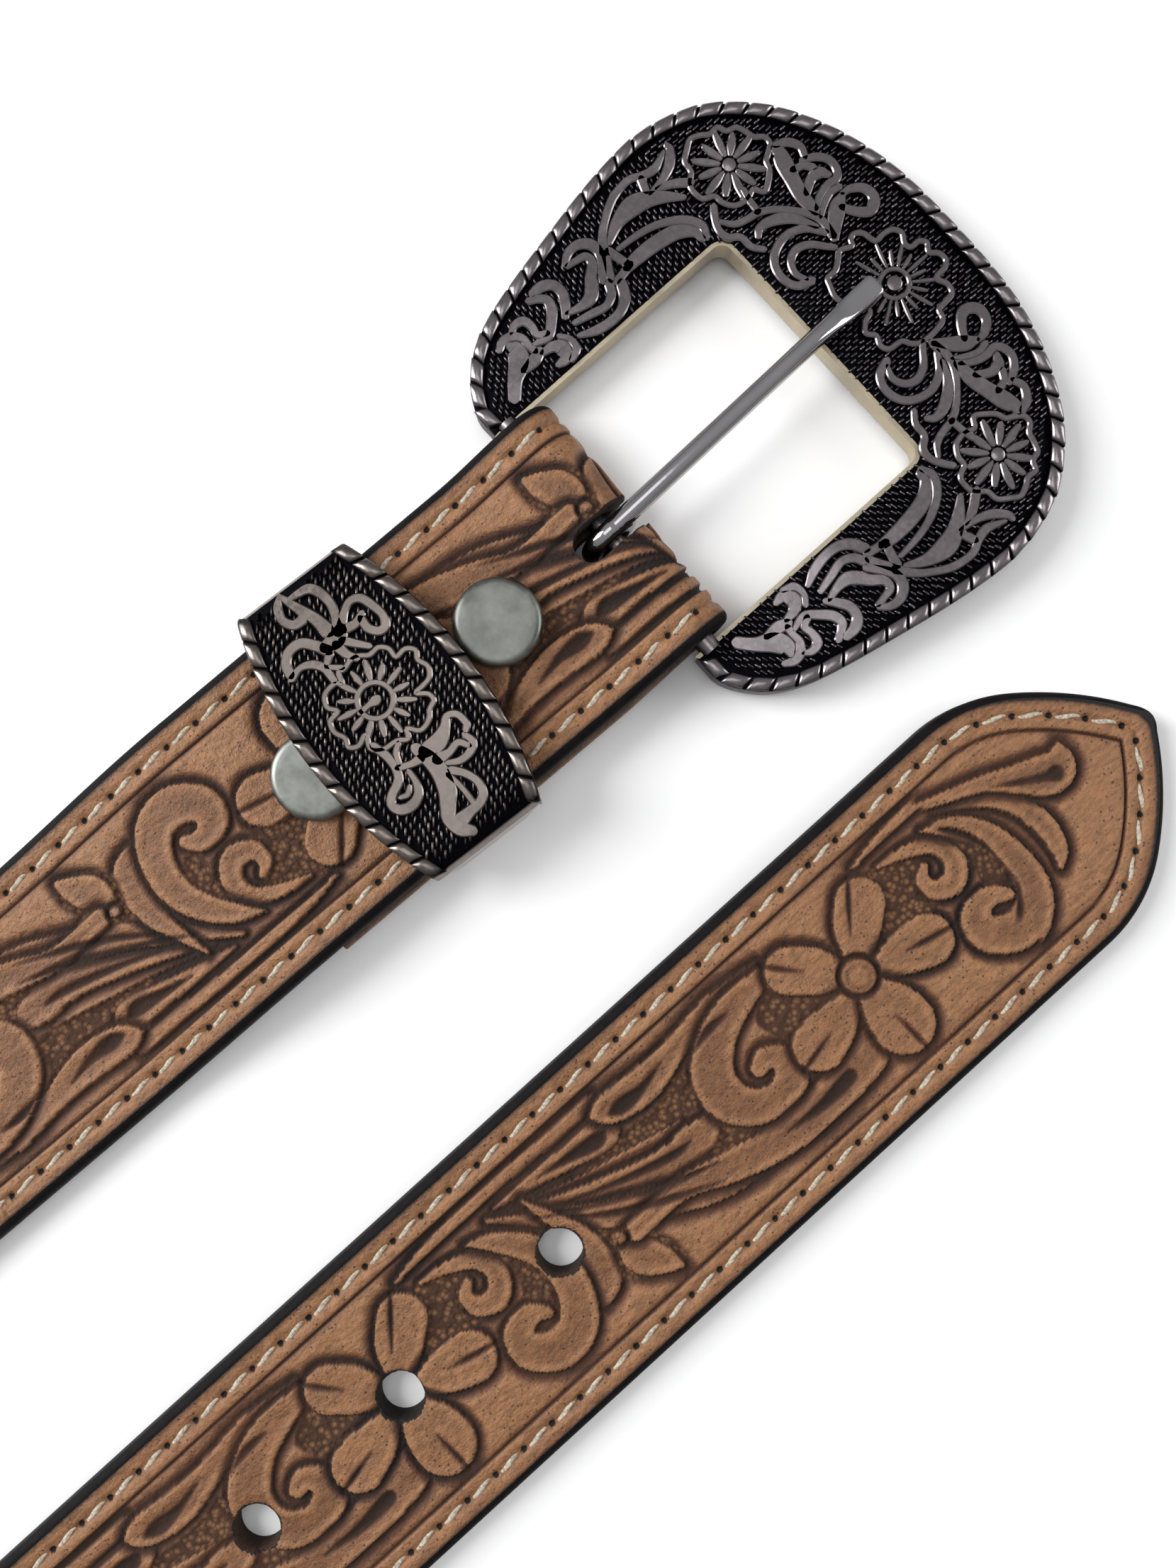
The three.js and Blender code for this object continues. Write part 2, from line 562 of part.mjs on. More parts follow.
// Keeper's ornament in its own frame: u along the strap, v across it, with half widths
const KEEPER_SCROLLS = [
  [[-0.6, 7.4, 0.6], [-0.3, 10.6, 1.1], [0.6, 14.6, 1.2], [0.9, 17.4, 1.3], [-0.8, 20.0, 0.7]],
  [[0.3, 12.6, 0.8], [3.0, 15.4, 0.9], [4.6, 18.4, 0.6], [3.4, 19.6, 0.3]],
  [[-0.6, 9.8, 0.7], [-3.6, 12.6, 1.1], [-6.6, 12.8, 0.8], [-7.4, 10.6, 0.4]],
  [[0.6, 11.6, 0.7], [4.0, 12.2, 0.9], [5.8, 10.0, 0.9], [5.0, 8.6, 0.5]],
  [[-2.6, -2.8, 0.7], [-2.2, -7.6, 0.9], [-0.2, -11.6, 1.2], [-1.8, -15.4, 1.3], [-4.0, -18.4, 0.8]],
  [[-2.4, -7.8, 0.6], [-5.4, -11.0, 0.9], [-8.0, -10.2, 0.8], [-7.6, -8.4, 0.4]],
  [[0.4, -7.0, 0.9], [3.4, -8.6, 1.2], [6.2, -7.4, 0.8], [5.8, -5.4, 0.5]],
];

function keeperEdge() {
  const half = STRAP_WIDTH / 2 + KEEPER_SIDE_GAP + KEEPER_WALL;
  const end = KEEPER_END_LENGTH / 2;
  const middle = KEEPER_BULGE_LENGTH / 2;
  const rise = middle - end;
  const radius = (half ** 2 + rise ** 2) / (2 * rise);
  const reach = Math.asin(half / radius);
  return new THREE.EllipseCurve(middle - radius, 0, radius, radius, reach, -reach, true);
}

function makeKeeper() {
  const edge = keeperEdge();
  const inner = STRAP_WIDTH / 2 + KEEPER_SIDE_GAP;
  const outer = inner + KEEPER_WALL;
  const right = edge.getPoints(14);
  const left = right.map((p) => new THREE.Vector2(-p.x, -p.y));
  const raised = PLATE_GROUND - 0.2;
  const ropeLow = PLATE_TOP - ROPE_NOTCH;
  const endHalf = KEEPER_END_LENGTH / 2 - 0.3;
  const backHalf = KEEPER_BACK_LENGTH / 2;
  const pieces = [prism([...right, ...left], PLATE_BOTTOM, PLATE_GROUND)];
  const band = edgeBand(edge, 0.05, ROPE_WIDTH, 14, raised, ropeLow, 0.01, 0.99);
  const turns = ropeTurns(edge, KEEPER_ROPE_TURNS, ropeLow - 0.1, PLATE_TOP, -0.3);
  for (const piece of [band, ...turns]) {
    pieces.push(piece);
    pieces.push(piece.clone().rotateZ(Math.PI));
  }
  for (const side of [-1, 1]) {
    const wall = prism([
      new THREE.Vector2(-backHalf, 0), new THREE.Vector2(backHalf, 0),
      new THREE.Vector2(endHalf, PLATE_BOTTOM + 0.1), new THREE.Vector2(-endHalf, PLATE_BOTTOM + 0.1),
    ], 0, KEEPER_WALL);
    wall.rotateX(Math.PI / 2);
    wall.translate(0, side > 0 ? outer : -inner, 0);
    pieces.push(wall);
  }
  pieces.push(prism([
    new THREE.Vector2(-backHalf, -outer + 0.1), new THREE.Vector2(backHalf, -outer + 0.1),
    new THREE.Vector2(backHalf, outer - 0.1), new THREE.Vector2(-backHalf, outer - 0.1),
  ], 0, KEEPER_BACK));
  for (const rows of KEEPER_SCROLLS) pieces.push(ornament(rows, raised, PLATE_TOP));
  const flowerX = -0.4;
  const flowerY = 2.0;
  const flowerRadius = 6.6;
  let keeper = join(pieces);
  keeper = keeper.add(
    toSolid(rosette(flowerX, flowerY, flowerRadius, 8, raised, PLATE_TOP))
      .subtract(toSolid(cylinder(flowerRadius * 0.38, PLATE_TOP - 0.5, PLATE_TOP + 1, 12, flowerX, flowerY)))
      .add(toSolid(cylinder(flowerRadius * BUTTON_SHARE, raised, PLATE_TOP, 12, flowerX, flowerY))),
  );
  const mesh = toMesh('keeper', keeper, agedSilver);
  const { x, y } = planAt(KEEPER_PLACE);
  mesh.position.set(x, y, 0);
  mesh.rotation.z = KEEPER_TURN - BRANCH_SPLAY;
  return mesh;
}

function lathe(name, profile, sides, material, run) {
  const geometry = new THREE.LatheGeometry(profile.map(([r, z]) => new THREE.Vector2(r, z)), sides);
  geometry.rotateX(Math.PI / 2);
  const mesh = toMesh(name, toSolid(geometry), material);
  const { x, y } = snapPoint(run);
  mesh.position.set(x, y, 0);
  return mesh;
}

// A shallow round cap on the leather
function makeSnapCap(name, run) {
  const low = STACK_TOP + CLEAR;
  const profile = [
    [0, low], [CAP_RADIUS * 0.97, low], [CAP_RADIUS, low + CAP_HEIGHT * 0.25],
    [CAP_RADIUS * 0.98, low + CAP_HEIGHT * 0.6], [CAP_RADIUS * 0.9, low + CAP_HEIGHT * 0.88],
    [CAP_RADIUS * 0.7, low + CAP_HEIGHT * 0.97], [0, low + CAP_HEIGHT],
  ];
  return lathe(name, profile, 28, greyNickel, run);
}

// A plain post through both layers, with a flat head under the flap
function makeSnapPost(name, run) {
  const headTop = FLAP_BOTTOM - CLEAR;
  const profile = [
    [0, headTop - POST_HEAD_THICKNESS], [POST_HEAD_RADIUS, headTop - POST_HEAD_THICKNESS],
    [POST_HEAD_RADIUS, headTop], [POST_RADIUS, headTop], [POST_RADIUS, STACK_TOP], [0, STACK_TOP],
  ];
  return lathe(name, profile, 14, greyNickel, run);
}

const belt = new THREE.Group();
belt.add(makeStrap(), makeBuckleFrame(), makeProng(), makeKeeper());
SNAP_PLACES.forEach((run, i) => {
  belt.add(makeSnapCap(`snap_cap_${i + 1}`, run));
  belt.add(makeSnapPost(`snap_post_${i + 1}`, run));
});

// The origin is the middle of the belt's footprint
belt.updateMatrixWorld(true);
const box = new THREE.Box3().setFromObject(belt, true);
const middle = box.getCenter(new THREE.Vector3());
belt.position.set(-middle.x, -middle.y, -box.min.z);

export default belt;
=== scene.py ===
"""Looks of a western tooled belt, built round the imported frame.

Sizes are in millimetres, unless a line says otherwise.
"""

import math

import bpy
import numpy as np
from mathutils import Matrix, Vector


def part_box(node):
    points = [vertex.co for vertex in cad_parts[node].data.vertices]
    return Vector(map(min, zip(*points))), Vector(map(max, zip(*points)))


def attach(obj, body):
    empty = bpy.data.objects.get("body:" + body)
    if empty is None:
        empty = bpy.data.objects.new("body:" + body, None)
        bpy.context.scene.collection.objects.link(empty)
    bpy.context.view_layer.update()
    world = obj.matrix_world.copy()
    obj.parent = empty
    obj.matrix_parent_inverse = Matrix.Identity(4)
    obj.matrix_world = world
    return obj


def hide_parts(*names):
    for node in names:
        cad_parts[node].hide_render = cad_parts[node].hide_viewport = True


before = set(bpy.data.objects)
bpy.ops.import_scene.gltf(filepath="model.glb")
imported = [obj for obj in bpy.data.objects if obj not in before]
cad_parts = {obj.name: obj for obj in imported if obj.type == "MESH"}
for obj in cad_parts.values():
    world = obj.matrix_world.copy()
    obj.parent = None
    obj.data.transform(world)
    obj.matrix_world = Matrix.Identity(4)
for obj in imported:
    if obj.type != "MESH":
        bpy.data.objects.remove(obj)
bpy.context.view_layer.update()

MM = 0.001

# Sizes of the frame that the looks follow
STRAP_WIDTH = 37.6
STRAP_THICKNESS = 4.0
FOLD_THICKNESS = 3.4
FLAP_THICKNESS = 2.5
BELT_LENGTH = 1070.0
FLAP_LENGTH = 62.0
FLAP_SHIFT = 0.5
SHOULDER_RADIUS = 21.0
SHOULDER_ANGLE = math.radians(37)
NOSE_RADIUS = 4.2
NOSE_ANGLE = math.radians(58)
TIP_ZONE = 60.0
HOLE_RADIUS = 3.05
FIRST_HOLE = 105.5
HOLE_STEPS = (27.8, 24.9, 26.4, 26.4)
TIP_REACH = 37.8
BRANCH_GAP = 65.7
BRANCH_SPLAY = math.radians(1.6)
FLAT_RUN = 190.0
TWIST_RUN = 140.0
SETTLE_RUN = 35.0
FOLD_RUN = 14.0
FOLD_INNER = 2.15
BAR_HEIGHT = 4.65
FLAP_TOP = 3.8
UPPER_BOTTOM = 4.1
STACK_TOP = 8.1
SNAP_PLACES = (18.9, 49.5)
CAP_RADIUS = 5.9
CAP_HEIGHT = 1.7
KEEPER_PLACE = 36.9
KEEPER_TURN = math.radians(-2.6)
BUCKLE_REACH = 62.7
BUCKLE_HALF_WIDTH = 38.2
WINDOW_REACH = 38.3
WINDOW_HALF = 19.75
WINDOW_FILLET = 1.8
HALF = STRAP_WIDTH / 2
HOLE_RUNS = FIRST_HOLE + np.concatenate([[0], np.cumsum(HOLE_STEPS)])

# The bar's centre, where the belt's own measures start, worked out from the buckle's place
_low, _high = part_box("buckle_frame")
BAR_X = _high.x / MM - BUCKLE_REACH
BAR_Y = (_low.y + _high.y) / 2 / MM


def smooth(share):
    """Eases a share from 0 to 1."""
    x = np.clip(share, 0.0, 1.0)
    return x * x * (3 - 2 * x)


def colour(code):
    """A web colour as linear red, green, blue and alpha."""
    parts = [int(code[i:i + 2], 16) / 255 for i in (1, 3, 5)]
    return tuple(p / 12.92 if p <= 0.04045 else ((p + 0.055) / 1.055) ** 2.4 for p in parts) + (1.0,)


# Camera: the photograph's place and angle over the belt

CAMERA_HEIGHT = 160.0
CAMERA_FROM_BAR = (-28.36, -28.15)
FOCAL_PIXELS = 1661.0
PHOTO_SIZE = (1659, 2212)
NADIR_PIXEL = (835.0, 1180.0)
BELT_ANGLE = math.radians(41.95)
SENSOR = 36.0

# Studio, in metres: a light has its name, place, aim, size and watts
STUDIO_SHIFT = (0.0, -0.02, 0.0)
LIGHTS = [
    ("overhead_softbox", (-0.01, 0.08, 0.75), (-0.01, 0.08, -0.25), (0.42, 0.42), 0.75),
    ("side_softbox", (-0.55, 0.75, 0.6), (0.0, 0.0, 0.0), (0.5, 0.9), 16.0),
    ("low_fill", (0.9, -0.5, 0.45), (0.0, 0.0, 0.0), (0.7, 0.5), 5.0),
]
SKY_LOW = "#98989a"
SKY_HIGH = "#e4e4e5"
SKY_STRENGTH = 0.62
FLOOR_SIZE = 6.0
FLOOR_SHADE = 0.94


def make_camera():
    data = bpy.data.cameras.new("camera")
    data.sensor_width = SENSOR
    data.lens = FOCAL_PIXELS / max(PHOTO_SIZE) * SENSOR
    data.clip_start = 0.005
    data.clip_end = 20.0
    camera = bpy.data.objects.new("camera", data)
    bpy.context.scene.collection.objects.link(camera)
    right = NADIR_PIXEL[0] - PHOTO_SIZE[0] / 2
    down = NADIR_PIXEL[1] - PHOTO_SIZE[1] / 2
    to_floor = Vector((right, -down, -FOCAL_PIXELS)).normalized()
    level = to_floor.rotation_difference(Vector((0, 0, -1))).to_matrix()
    turned = Matrix.Rotation(-BELT_ANGLE, 3, "Z") @ level
    place = Vector((BAR_X + CAMERA_FROM_BAR[0], BAR_Y + CAMERA_FROM_BAR[1], CAMERA_HEIGHT)) * MM
    camera.matrix_world = Matrix.Translation(place) @ turned.to_4x4()
    bpy.context.scene.camera = camera


def add_area_light(name, place, aim, size, power):
    data = bpy.data.lights.new(name, "AREA")
    data.shape = "RECTANGLE"
    data.size, data.size_y = size
    data.energy = power
    light = bpy.data.objects.new(name, data)
    bpy.context.scene.collection.objects.link(light)
    place, aim = Vector(place), Vector(aim)
    light.location = place
    light.rotation_mode = "QUATERNION"
    light.rotation_quaternion = (aim - place).to_track_quat("-Z", "Y")


def make_studio():
    centre = Vector((BAR_X * MM, BAR_Y * MM, 0)) + Vector(STUDIO_SHIFT)
    for name, place, aim, size, power in LIGHTS:
        add_area_light(name, centre + Vector(place), centre + Vector(aim), size, power)
    world = bpy.data.worlds.new("studio")
    world.use_nodes = True
    tree = world.node_tree
    background = tree.nodes["Background"]
    direction = add_node(tree, "ShaderNodeTexCoord").outputs["Generated"]
    upward = add_node(tree, "ShaderNodeSeparateXYZ", {0: direction}).outputs["Z"]
    sky = ramp(tree, upward, [(0.0, SKY_LOW), (1.0, SKY_HIGH)])
    tree.links.new(sky, background.inputs["Color"])
    background.inputs["Strength"].default_value = SKY_STRENGTH
    bpy.context.scene.world = world
    bpy.context.scene.view_settings.view_transform = "Standard"


def make_floor():
    side = FLOOR_SIZE / 2
    corners = [(-side, -side, 0), (side, -side, 0), (side, side, 0), (-side, side, 0)]
    mesh = bpy.data.meshes.new("floor")
    mesh.from_pydata(corners, [], [(0, 1, 2, 3)])
    floor = bpy.data.objects.new("floor", mesh)
    bpy.context.scene.collection.objects.link(floor)
    mesh.materials.append(floor_paint())


# Materials

# Depths below a casting's ground between which its colour turns to the bare side's
SIDE_START = 0.55
SIDE_END = 0.95


def add_node(tree, kind, inputs=None, **settings):
    """Adds a node. Each input is a value, or the socket that feeds it."""
    node = tree.nodes.new(kind)
    for key, value in settings.items():
        setattr(node, key, value)
    for key, value in (inputs or {}).items():
        if isinstance(value, bpy.types.NodeSocket):
            tree.links.new(value, node.inputs[key])
        else:
            node.inputs[key].default_value = value
    return node


def new_material(name):
    """A bare material, its node tree and its shader."""
    material = bpy.data.materials.new(name)
    material.use_nodes = True
    tree = material.node_tree
    return material, tree, tree.nodes["Principled BSDF"]


def ramp(tree, factor, stops):
    """A colour ramp with (place, colour) stops."""
    node = add_node(tree, "ShaderNodeValToRGB", {"Fac": factor})
    band = node.color_ramp
    while len(band.elements) < len(stops):
        band.elements.new(0.5)
    for element, (place, shade) in zip(band.elements, stops):
        element.position = place
        element.color = colour(shade) if isinstance(shade, str) else (shade, shade, shade, 1.0)
    return node.outputs["Color"]


def mixed(tree, factor, first, second, blend="MIX"):
    """Two colours mixed by a factor."""
    node = tree.nodes.new("ShaderNodeMix")
    node.data_type = "RGBA"
    node.blend_type = blend
    for socket, value in ((node.inputs[0], factor), (node.inputs[6], first), (node.inputs[7], second)):
        if isinstance(value, bpy.types.NodeSocket):
            tree.links.new(value, socket)
        else:
            socket.default_value = value
    return node.outputs[2]


def maths(tree, operation, first, second=0.0):
    return add_node(tree, "ShaderNodeMath", {0: first, 1: second}, operation=operation).outputs[0]


def noise(tree, place, scale, detail=3.0, roughness=0.5):
    inputs = {"Vector": place, "Scale": scale, "Detail": detail, "Roughness": roughness}
    return add_node(tree, "ShaderNodeTexNoise", inputs).outputs["Fac"]


def object_place(tree):
    return add_node(tree, "ShaderNodeTexCoord").outputs["Object"]


def attribute(tree, name):
    return add_node(tree, "ShaderNodeAttribute", attribute_name=name).outputs["Fac"]


def bump(tree, height, strength, distance, below=None):
    inputs = {"Height": height, "Strength": strength, "Distance": distance}
    if below is not None:
        inputs["Normal"] = below
    return add_node(tree, "ShaderNodeBump", inputs).outputs["Normal"]


def about(tree, value, pattern, amount):
    """A value that a pattern pushes up and down."""
    swing = maths(tree, "MULTIPLY", maths(tree, "SUBTRACT", pattern, 0.5), amount)
    return maths(tree, "ADD", value, swing)


def cells(tree, place, scale):
    return add_node(tree, "ShaderNodeTexVoronoi", {"Vector": place, "Scale": scale}).outputs["Distance"]


def share_between(tree, height, low, high):
    """0 at one height and 1 at the other, both in millimetres."""
    inputs = {"Value": height, "From Min": low * MM, "From Max": high * MM}
    return add_node(tree, "ShaderNodeMapRange", inputs).outputs[0]


def floor_paint():
    material, _, shader = new_material("pale_floor")
    shader.inputs["Base Color"].default_value = (FLOOR_SHADE, FLOOR_SHADE, FLOOR_SHADE, 1.0)
    shader.inputs["Roughness"].default_value = 0.8
    return material


def tooled_leather():
    """Tan leather with dark antiquing in its cuts, pores, a matted ground, black painted edges and painted
    shade in its needle holes.
    """
    material, tree, shader = new_material("tooled_leather")
    place = object_place(tree)
    relief, matted, paint_and_hole_shade = (attribute(tree, name) for name in ("relief", "matted", "paint_and_hole_shade"))
    fine = noise(tree, place, 1100.0, 5.0, 0.75)
    lifted = about(tree, relief, noise(tree, place, 90.0, 4.0, 0.6), 0.24)
    lifted = about(tree, lifted, fine, 0.3)
    tan = ramp(tree, lifted, [(0.05, "#0f0704"), (0.35, "#29140b"), (0.66, "#57331d"),
                              (0.87, "#825837"), (1.0, "#9a6d48")])
    wide = noise(tree, place, 28.0, 2.0)
    tan = mixed(tree, ramp(tree, wide, [(0.35, 0.0), (0.75, 0.3)]), tan, colour("#7d5033"))
    stretched = add_node(tree, "ShaderNodeVectorMath", {0: place, 1: (0.3, 1.0, 1.0)}, operation="MULTIPLY")
    fibres = noise(tree, stretched.outputs[0], 1700.0, 3.0, 0.6)
    tan = mixed(tree, 0.5, tan, ramp(tree, fibres, [(0.34, 0.3), (0.6, 1.0)]), "MULTIPLY")
    spots = ramp(tree, cells(tree, place, 1250.0), [(0.1, 1.0), (0.26, 0.0)])
    chosen = ramp(tree, noise(tree, place, 380.0, 2.0), [(0.36, 0.0), (0.52, 0.9)])
    tan = mixed(tree, maths(tree, "MULTIPLY", spots, chosen), tan, colour("#2e1a10"))
    pebble = cells(tree, place, 1150.0)
    ground = ramp(tree, pebble, [(0.12, "#86603f"), (0.55, "#452a1a")])
    tan = mixed(tree, maths(tree, "MULTIPLY", matted, 0.8), tan, ground)
    # Black edge paint, and painted shade that darkens each needle hole
    dye_and_hole_shade = ramp(tree, about(tree, paint_and_hole_shade, fine, 0.35), [(0.35, 0.0), (0.62, 1.0)])
    tree.links.new(mixed(tree, dye_and_hole_shade, tan, colour("#0a080a")), shader.inputs["Base Color"])
    rough = ramp(tree, fine, [(0.35, 0.3), (0.65, 0.62)])
    rough = mixed(tree, ramp(tree, relief, [(0.4, 1.0), (0.85, 0.0)]), rough, (0.88, 0.88, 0.88, 1.0))
    tree.links.new(mixed(tree, dye_and_hole_shade, rough, (0.72, 0.72, 0.72, 1.0)), shader.inputs["Roughness"])
    shader.inputs["Specular IOR Level"].default_value = 0.45
    grain = bump(tree, fine, 0.8, 0.0003)
    wrinkles = bump(tree, noise(tree, place, 420.0, 4.0, 0.75), 0.7, 0.0008, grain)
    matting = bump(tree, maths(tree, "MULTIPLY", pebble, matted), 0.6, 0.0006, wrinkles)
    tree.links.new(matting, shader.inputs["Normal"])
    return material


def edge_paint():
    """The strap's burnished edges, painted black."""
    material, tree, shader = new_material("edge_paint")
    place = object_place(tree)
    uneven = noise(tree, place, 500.0, 4.0, 0.6)
    tree.links.new(ramp(tree, uneven, [(0.3, "#050404"), (0.75, "#120d0f")]), shader.inputs["Base Color"])
    shader.inputs["Roughness"].default_value = 0.68
    shader.inputs["Specular IOR Level"].default_value = 0.12
    tree.links.new(bump(tree, uneven, 0.35, 0.0003), shader.inputs["Normal"])
    return material


def rough_leather():
    """The flesh side and the flap's edges: napped and undyed."""
    material, tree, shader = new_material("rough_leather")
    place = object_place(tree)
    nap = noise(tree, place, 700.0, 6.0, 0.75)
    clouds = noise(tree, place, 60.0, 3.0)
    base = ramp(tree, nap, [(0.3, "#3f2a1d"), (0.65, "#76553c")])
    shade = mixed(tree, 0.5, base, ramp(tree, clouds, [(0.3, 0.55), (0.7, 1.0)]), "MULTIPLY")
    tree.links.new(shade, shader.inputs["Base Color"])
    shader.inputs["Roughness"].default_value = 0.92
    shader.inputs["Sheen Weight"].default_value = 0.25
    shader.inputs["Sheen Roughness"].default_value = 0.5
    tree.links.new(bump(tree, nap, 0.7, 0.0007), shader.inputs["Normal"])
    return material


def waxed_thread():
    material, tree, shader = new_material("waxed_thread")
    place = object_place(tree)
    fibres = noise(tree, place, 2600.0, 3.0, 0.6)
    tree.links.new(ramp(tree, fibres, [(0.3, "#746a5a"), (0.62, "#c4b9a6")]), shader.inputs["Base Color"])
    shader.inputs["Roughness"].default_value = 0.7
    shader.inputs["Sheen Weight"].default_value = 0.3
    tree.links.new(bump(tree, fibres, 0.5, 0.0002), shader.inputs["Normal"])
    return material


def aged_metal(name, ground_height, top_height, ground, flank, top, side, roughness):
    """Cast metal: dark in the ground between its ornaments, polished on top of them and down its sides."""
    material, tree, shader = new_material(name)
    place = object_place(tree)
    height = add_node(tree, "ShaderNodeSeparateXYZ", {0: place}).outputs["Z"]
    stain = noise(tree, place, 420.0, 4.0, 0.6)
    level = about(tree, share_between(tree, height, ground_height, top_height), stain, 0.3)
    shade = ramp(tree, level, [(0.12, ground), (0.55, flank), (0.85, top)])
    below = share_between(tree, height, ground_height - SIDE_START, ground_height - SIDE_END)
    shade = mixed(tree, below, shade, colour(side))
    wide = noise(tree, place, 70.0, 2.0)
    shade = mixed(tree, 0.3, shade, ramp(tree, wide, [(0.3, 0.6), (0.7, 1.0)]), "MULTIPLY")
    tree.links.new(shade, shader.inputs["Base Color"])
    shader.inputs["Metallic"].default_value = 1.0
    worn = ramp(tree, level, [(0.2, 0.5), (0.85, roughness)])
    scuffs = noise(tree, place, 1300.0, 3.0)
    worn = mixed(tree, 0.25, worn, ramp(tree, scuffs, [(0.35, 0.15), (0.7, 0.7)]))
    tree.links.new(worn, shader.inputs["Roughness"])
    dents = bump(tree, noise(tree, place, 48.0, 2.0), 0.5, 0.003)
    tree.links.new(bump(tree, scuffs, 0.12, 0.0001, dents), shader.inputs["Normal"])
    return material


def plain_metal(name, shade, roughness, mottle, grain_size):
    """Plated metal with a faint mottle."""
    material, tree, shader = new_material(name)
    place = object_place(tree)
    cloud = noise(tree, place, grain_size, 4.0, 0.6)
    base = mixed(tree, mottle, colour(shade), ramp(tree, cloud, [(0.3, 0.2), (0.7, 0.95)]), "MULTIPLY")
    tree.links.new(base, shader.inputs["Base Color"])
    shader.inputs["Metallic"].default_value = 1.0
    uneven = ramp(tree, cloud, [(0.3, roughness * 0.8), (0.7, min(roughness * 1.3, 1.0))])
    tree.links.new(uneven, shader.inputs["Roughness"])
    tree.links.new(bump(tree, noise(tree, place, grain_size * 4, 3.0), 0.08, 0.0001), shader.inputs["Normal"])
    return material


# Meshes


def make_object(name, points, faces, materials, face_slots=None, smooth_faces=True, values=None):
    """An object from arrays of points in millimetres and faces of three or four corners."""
    mesh = bpy.data.meshes.new(name)
    points = np.asarray(points, dtype=np.float32) * MM
    counts = np.array([len(f) for f in faces], dtype=np.int32)
    corners = np.fromiter((c for f in faces for c in f), dtype=np.int32, count=int(counts.sum()))
    mesh.vertices.add(len(points))
    mesh.vertices.foreach_set("co", points.ravel())
    mesh.loops.add(len(corners))
    mesh.loops.foreach_set("vertex_index", corners)
    mesh.polygons.add(len(counts))
    starts = np.concatenate([[0], np.cumsum(counts)[:-1]]).astype(np.int32)
    mesh.polygons.foreach_set("loop_start", starts)
    mesh.polygons.foreach_set("use_smooth", np.full(len(counts), smooth_faces))
    if face_slots is not None:
        mesh.polygons.foreach_set("material_index", np.asarray(face_slots, dtype=np.int32))
    for key, data in (values or {}).items():
        layer = mesh.attributes.new(key, "FLOAT", "POINT")
        layer.data.foreach_set("value", np.asarray(data, dtype=np.float32))
    mesh.update(calc_edges=True)
    mesh.validate()
    for material in materials:
        mesh.materials.append(material)
    made = bpy.data.objects.new(name, mesh)
    bpy.context.scene.collection.objects.link(made)
    return made


def spline_points(rows, steps, closed=False):
    """A smooth curve through rows of numbers, with so many steps from one row to the next."""
    rows = np.asarray(rows, dtype=float)
    count = len(rows)
    if closed:
        before, start, end, after = (np.roll(rows, k, axis=0) for k in (1, 0, -1, -2))
    else:
        padded = np.vstack([2 * rows[0] - rows[1], rows, 2 * rows[-1] - rows[-2]])
        before, start, end, after = (padded[k:k + count - 1] for k in range(4))
    made = []
    for share in np.arange(steps) / steps:
        a = 0.5 * (-before + 3 * start - 3 * end + after)
        b = 0.5 * (2 * before - 5 * start + 4 * end - after)
        c = 0.5 * (end - before)
        made.append(((a * share + b) * share + c) * share + start)
    curve = np.stack(made, axis=1).reshape(-1, rows.shape[1])
    return curve if closed else np.vstack([curve, rows[-1:]])


def far_along(line):
    """Distance along a line to each of its points."""
    return np.concatenate([[0], np.cumsum(np.linalg.norm(np.diff(line, axis=0), axis=1))])


def read_at(stops, far, table):
    """Rows of a table at some distances along it."""
    return np.stack([np.interp(stops, far, column) for column in table.T], axis=1)


def offset_line(line, depth):
    """A clockwise line moved inwards."""
    ahead = np.gradient(line, axis=0)
    ahead /= np.linalg.norm(ahead, axis=1)[:, None]
    return line + np.stack([ahead[:, 1], -ahead[:, 0]], axis=1) * depth


def line_gap(points, line):
    """Distance of each point from a line of many points."""
    best = np.full(len(points), 1e9)
    for a, b in zip(line[:-1], line[1:]):
        d = b - a
        share = np.clip(((points - a) @ d) / (d @ d + 1e-9), 0, 1)
        best = np.minimum(best, np.linalg.norm(points - a - share[:, None] * d, axis=1))
    return best


# Path of the strap, as in the frame


def solve_plan():
    sine, cosine = math.sin(BRANCH_SPLAY), math.cos(BRANCH_SPLAY)
    turn = math.pi + BRANCH_SPLAY
    share = (turn + sine) / (1 + cosine)
    buckle_run = (BELT_LENGTH - TIP_REACH - BRANCH_GAP * share) / (1 + cosine + sine * share)
    radius = (BRANCH_GAP + buckle_run * sine) / (1 + cosine)
    centre = (-buckle_run * cosine - sine * radius, buckle_run * sine - cosine * radius)
    return buckle_run, radius, radius * turn, centre


BUCKLE_RUN, TURN_RADIUS, TURN_RUN, TURN_CENTRE = solve_plan()


def plan_at(run):
    """Place and heading of the strap's centre line, measured from the bar."""
    run = np.asarray(run, dtype=float)
    start = math.pi - BRANCH_SPLAY
    in_turn = np.clip(run - BUCKLE_RUN, 0, TURN_RUN)
    heading = np.where(run <= BUCKLE_RUN, start, start + in_turn / TURN_RADIUS)
    heading = np.where(run > BUCKLE_RUN + TURN_RUN, 2 * math.pi, heading)
    turn_x = TURN_CENTRE[0] + TURN_RADIUS * np.sin(heading)
    turn_y = TURN_CENTRE[1] - TURN_RADIUS * np.cos(heading)
    before = run <= BUCKLE_RUN
    after = run > BUCKLE_RUN + TURN_RUN
    x = np.where(before, run * math.cos(start), np.where(after, TIP_REACH - BELT_LENGTH + run, turn_x))
    y = np.where(before, run * math.sin(start), np.where(after, -BRANCH_GAP, turn_y))
    return x, y, heading


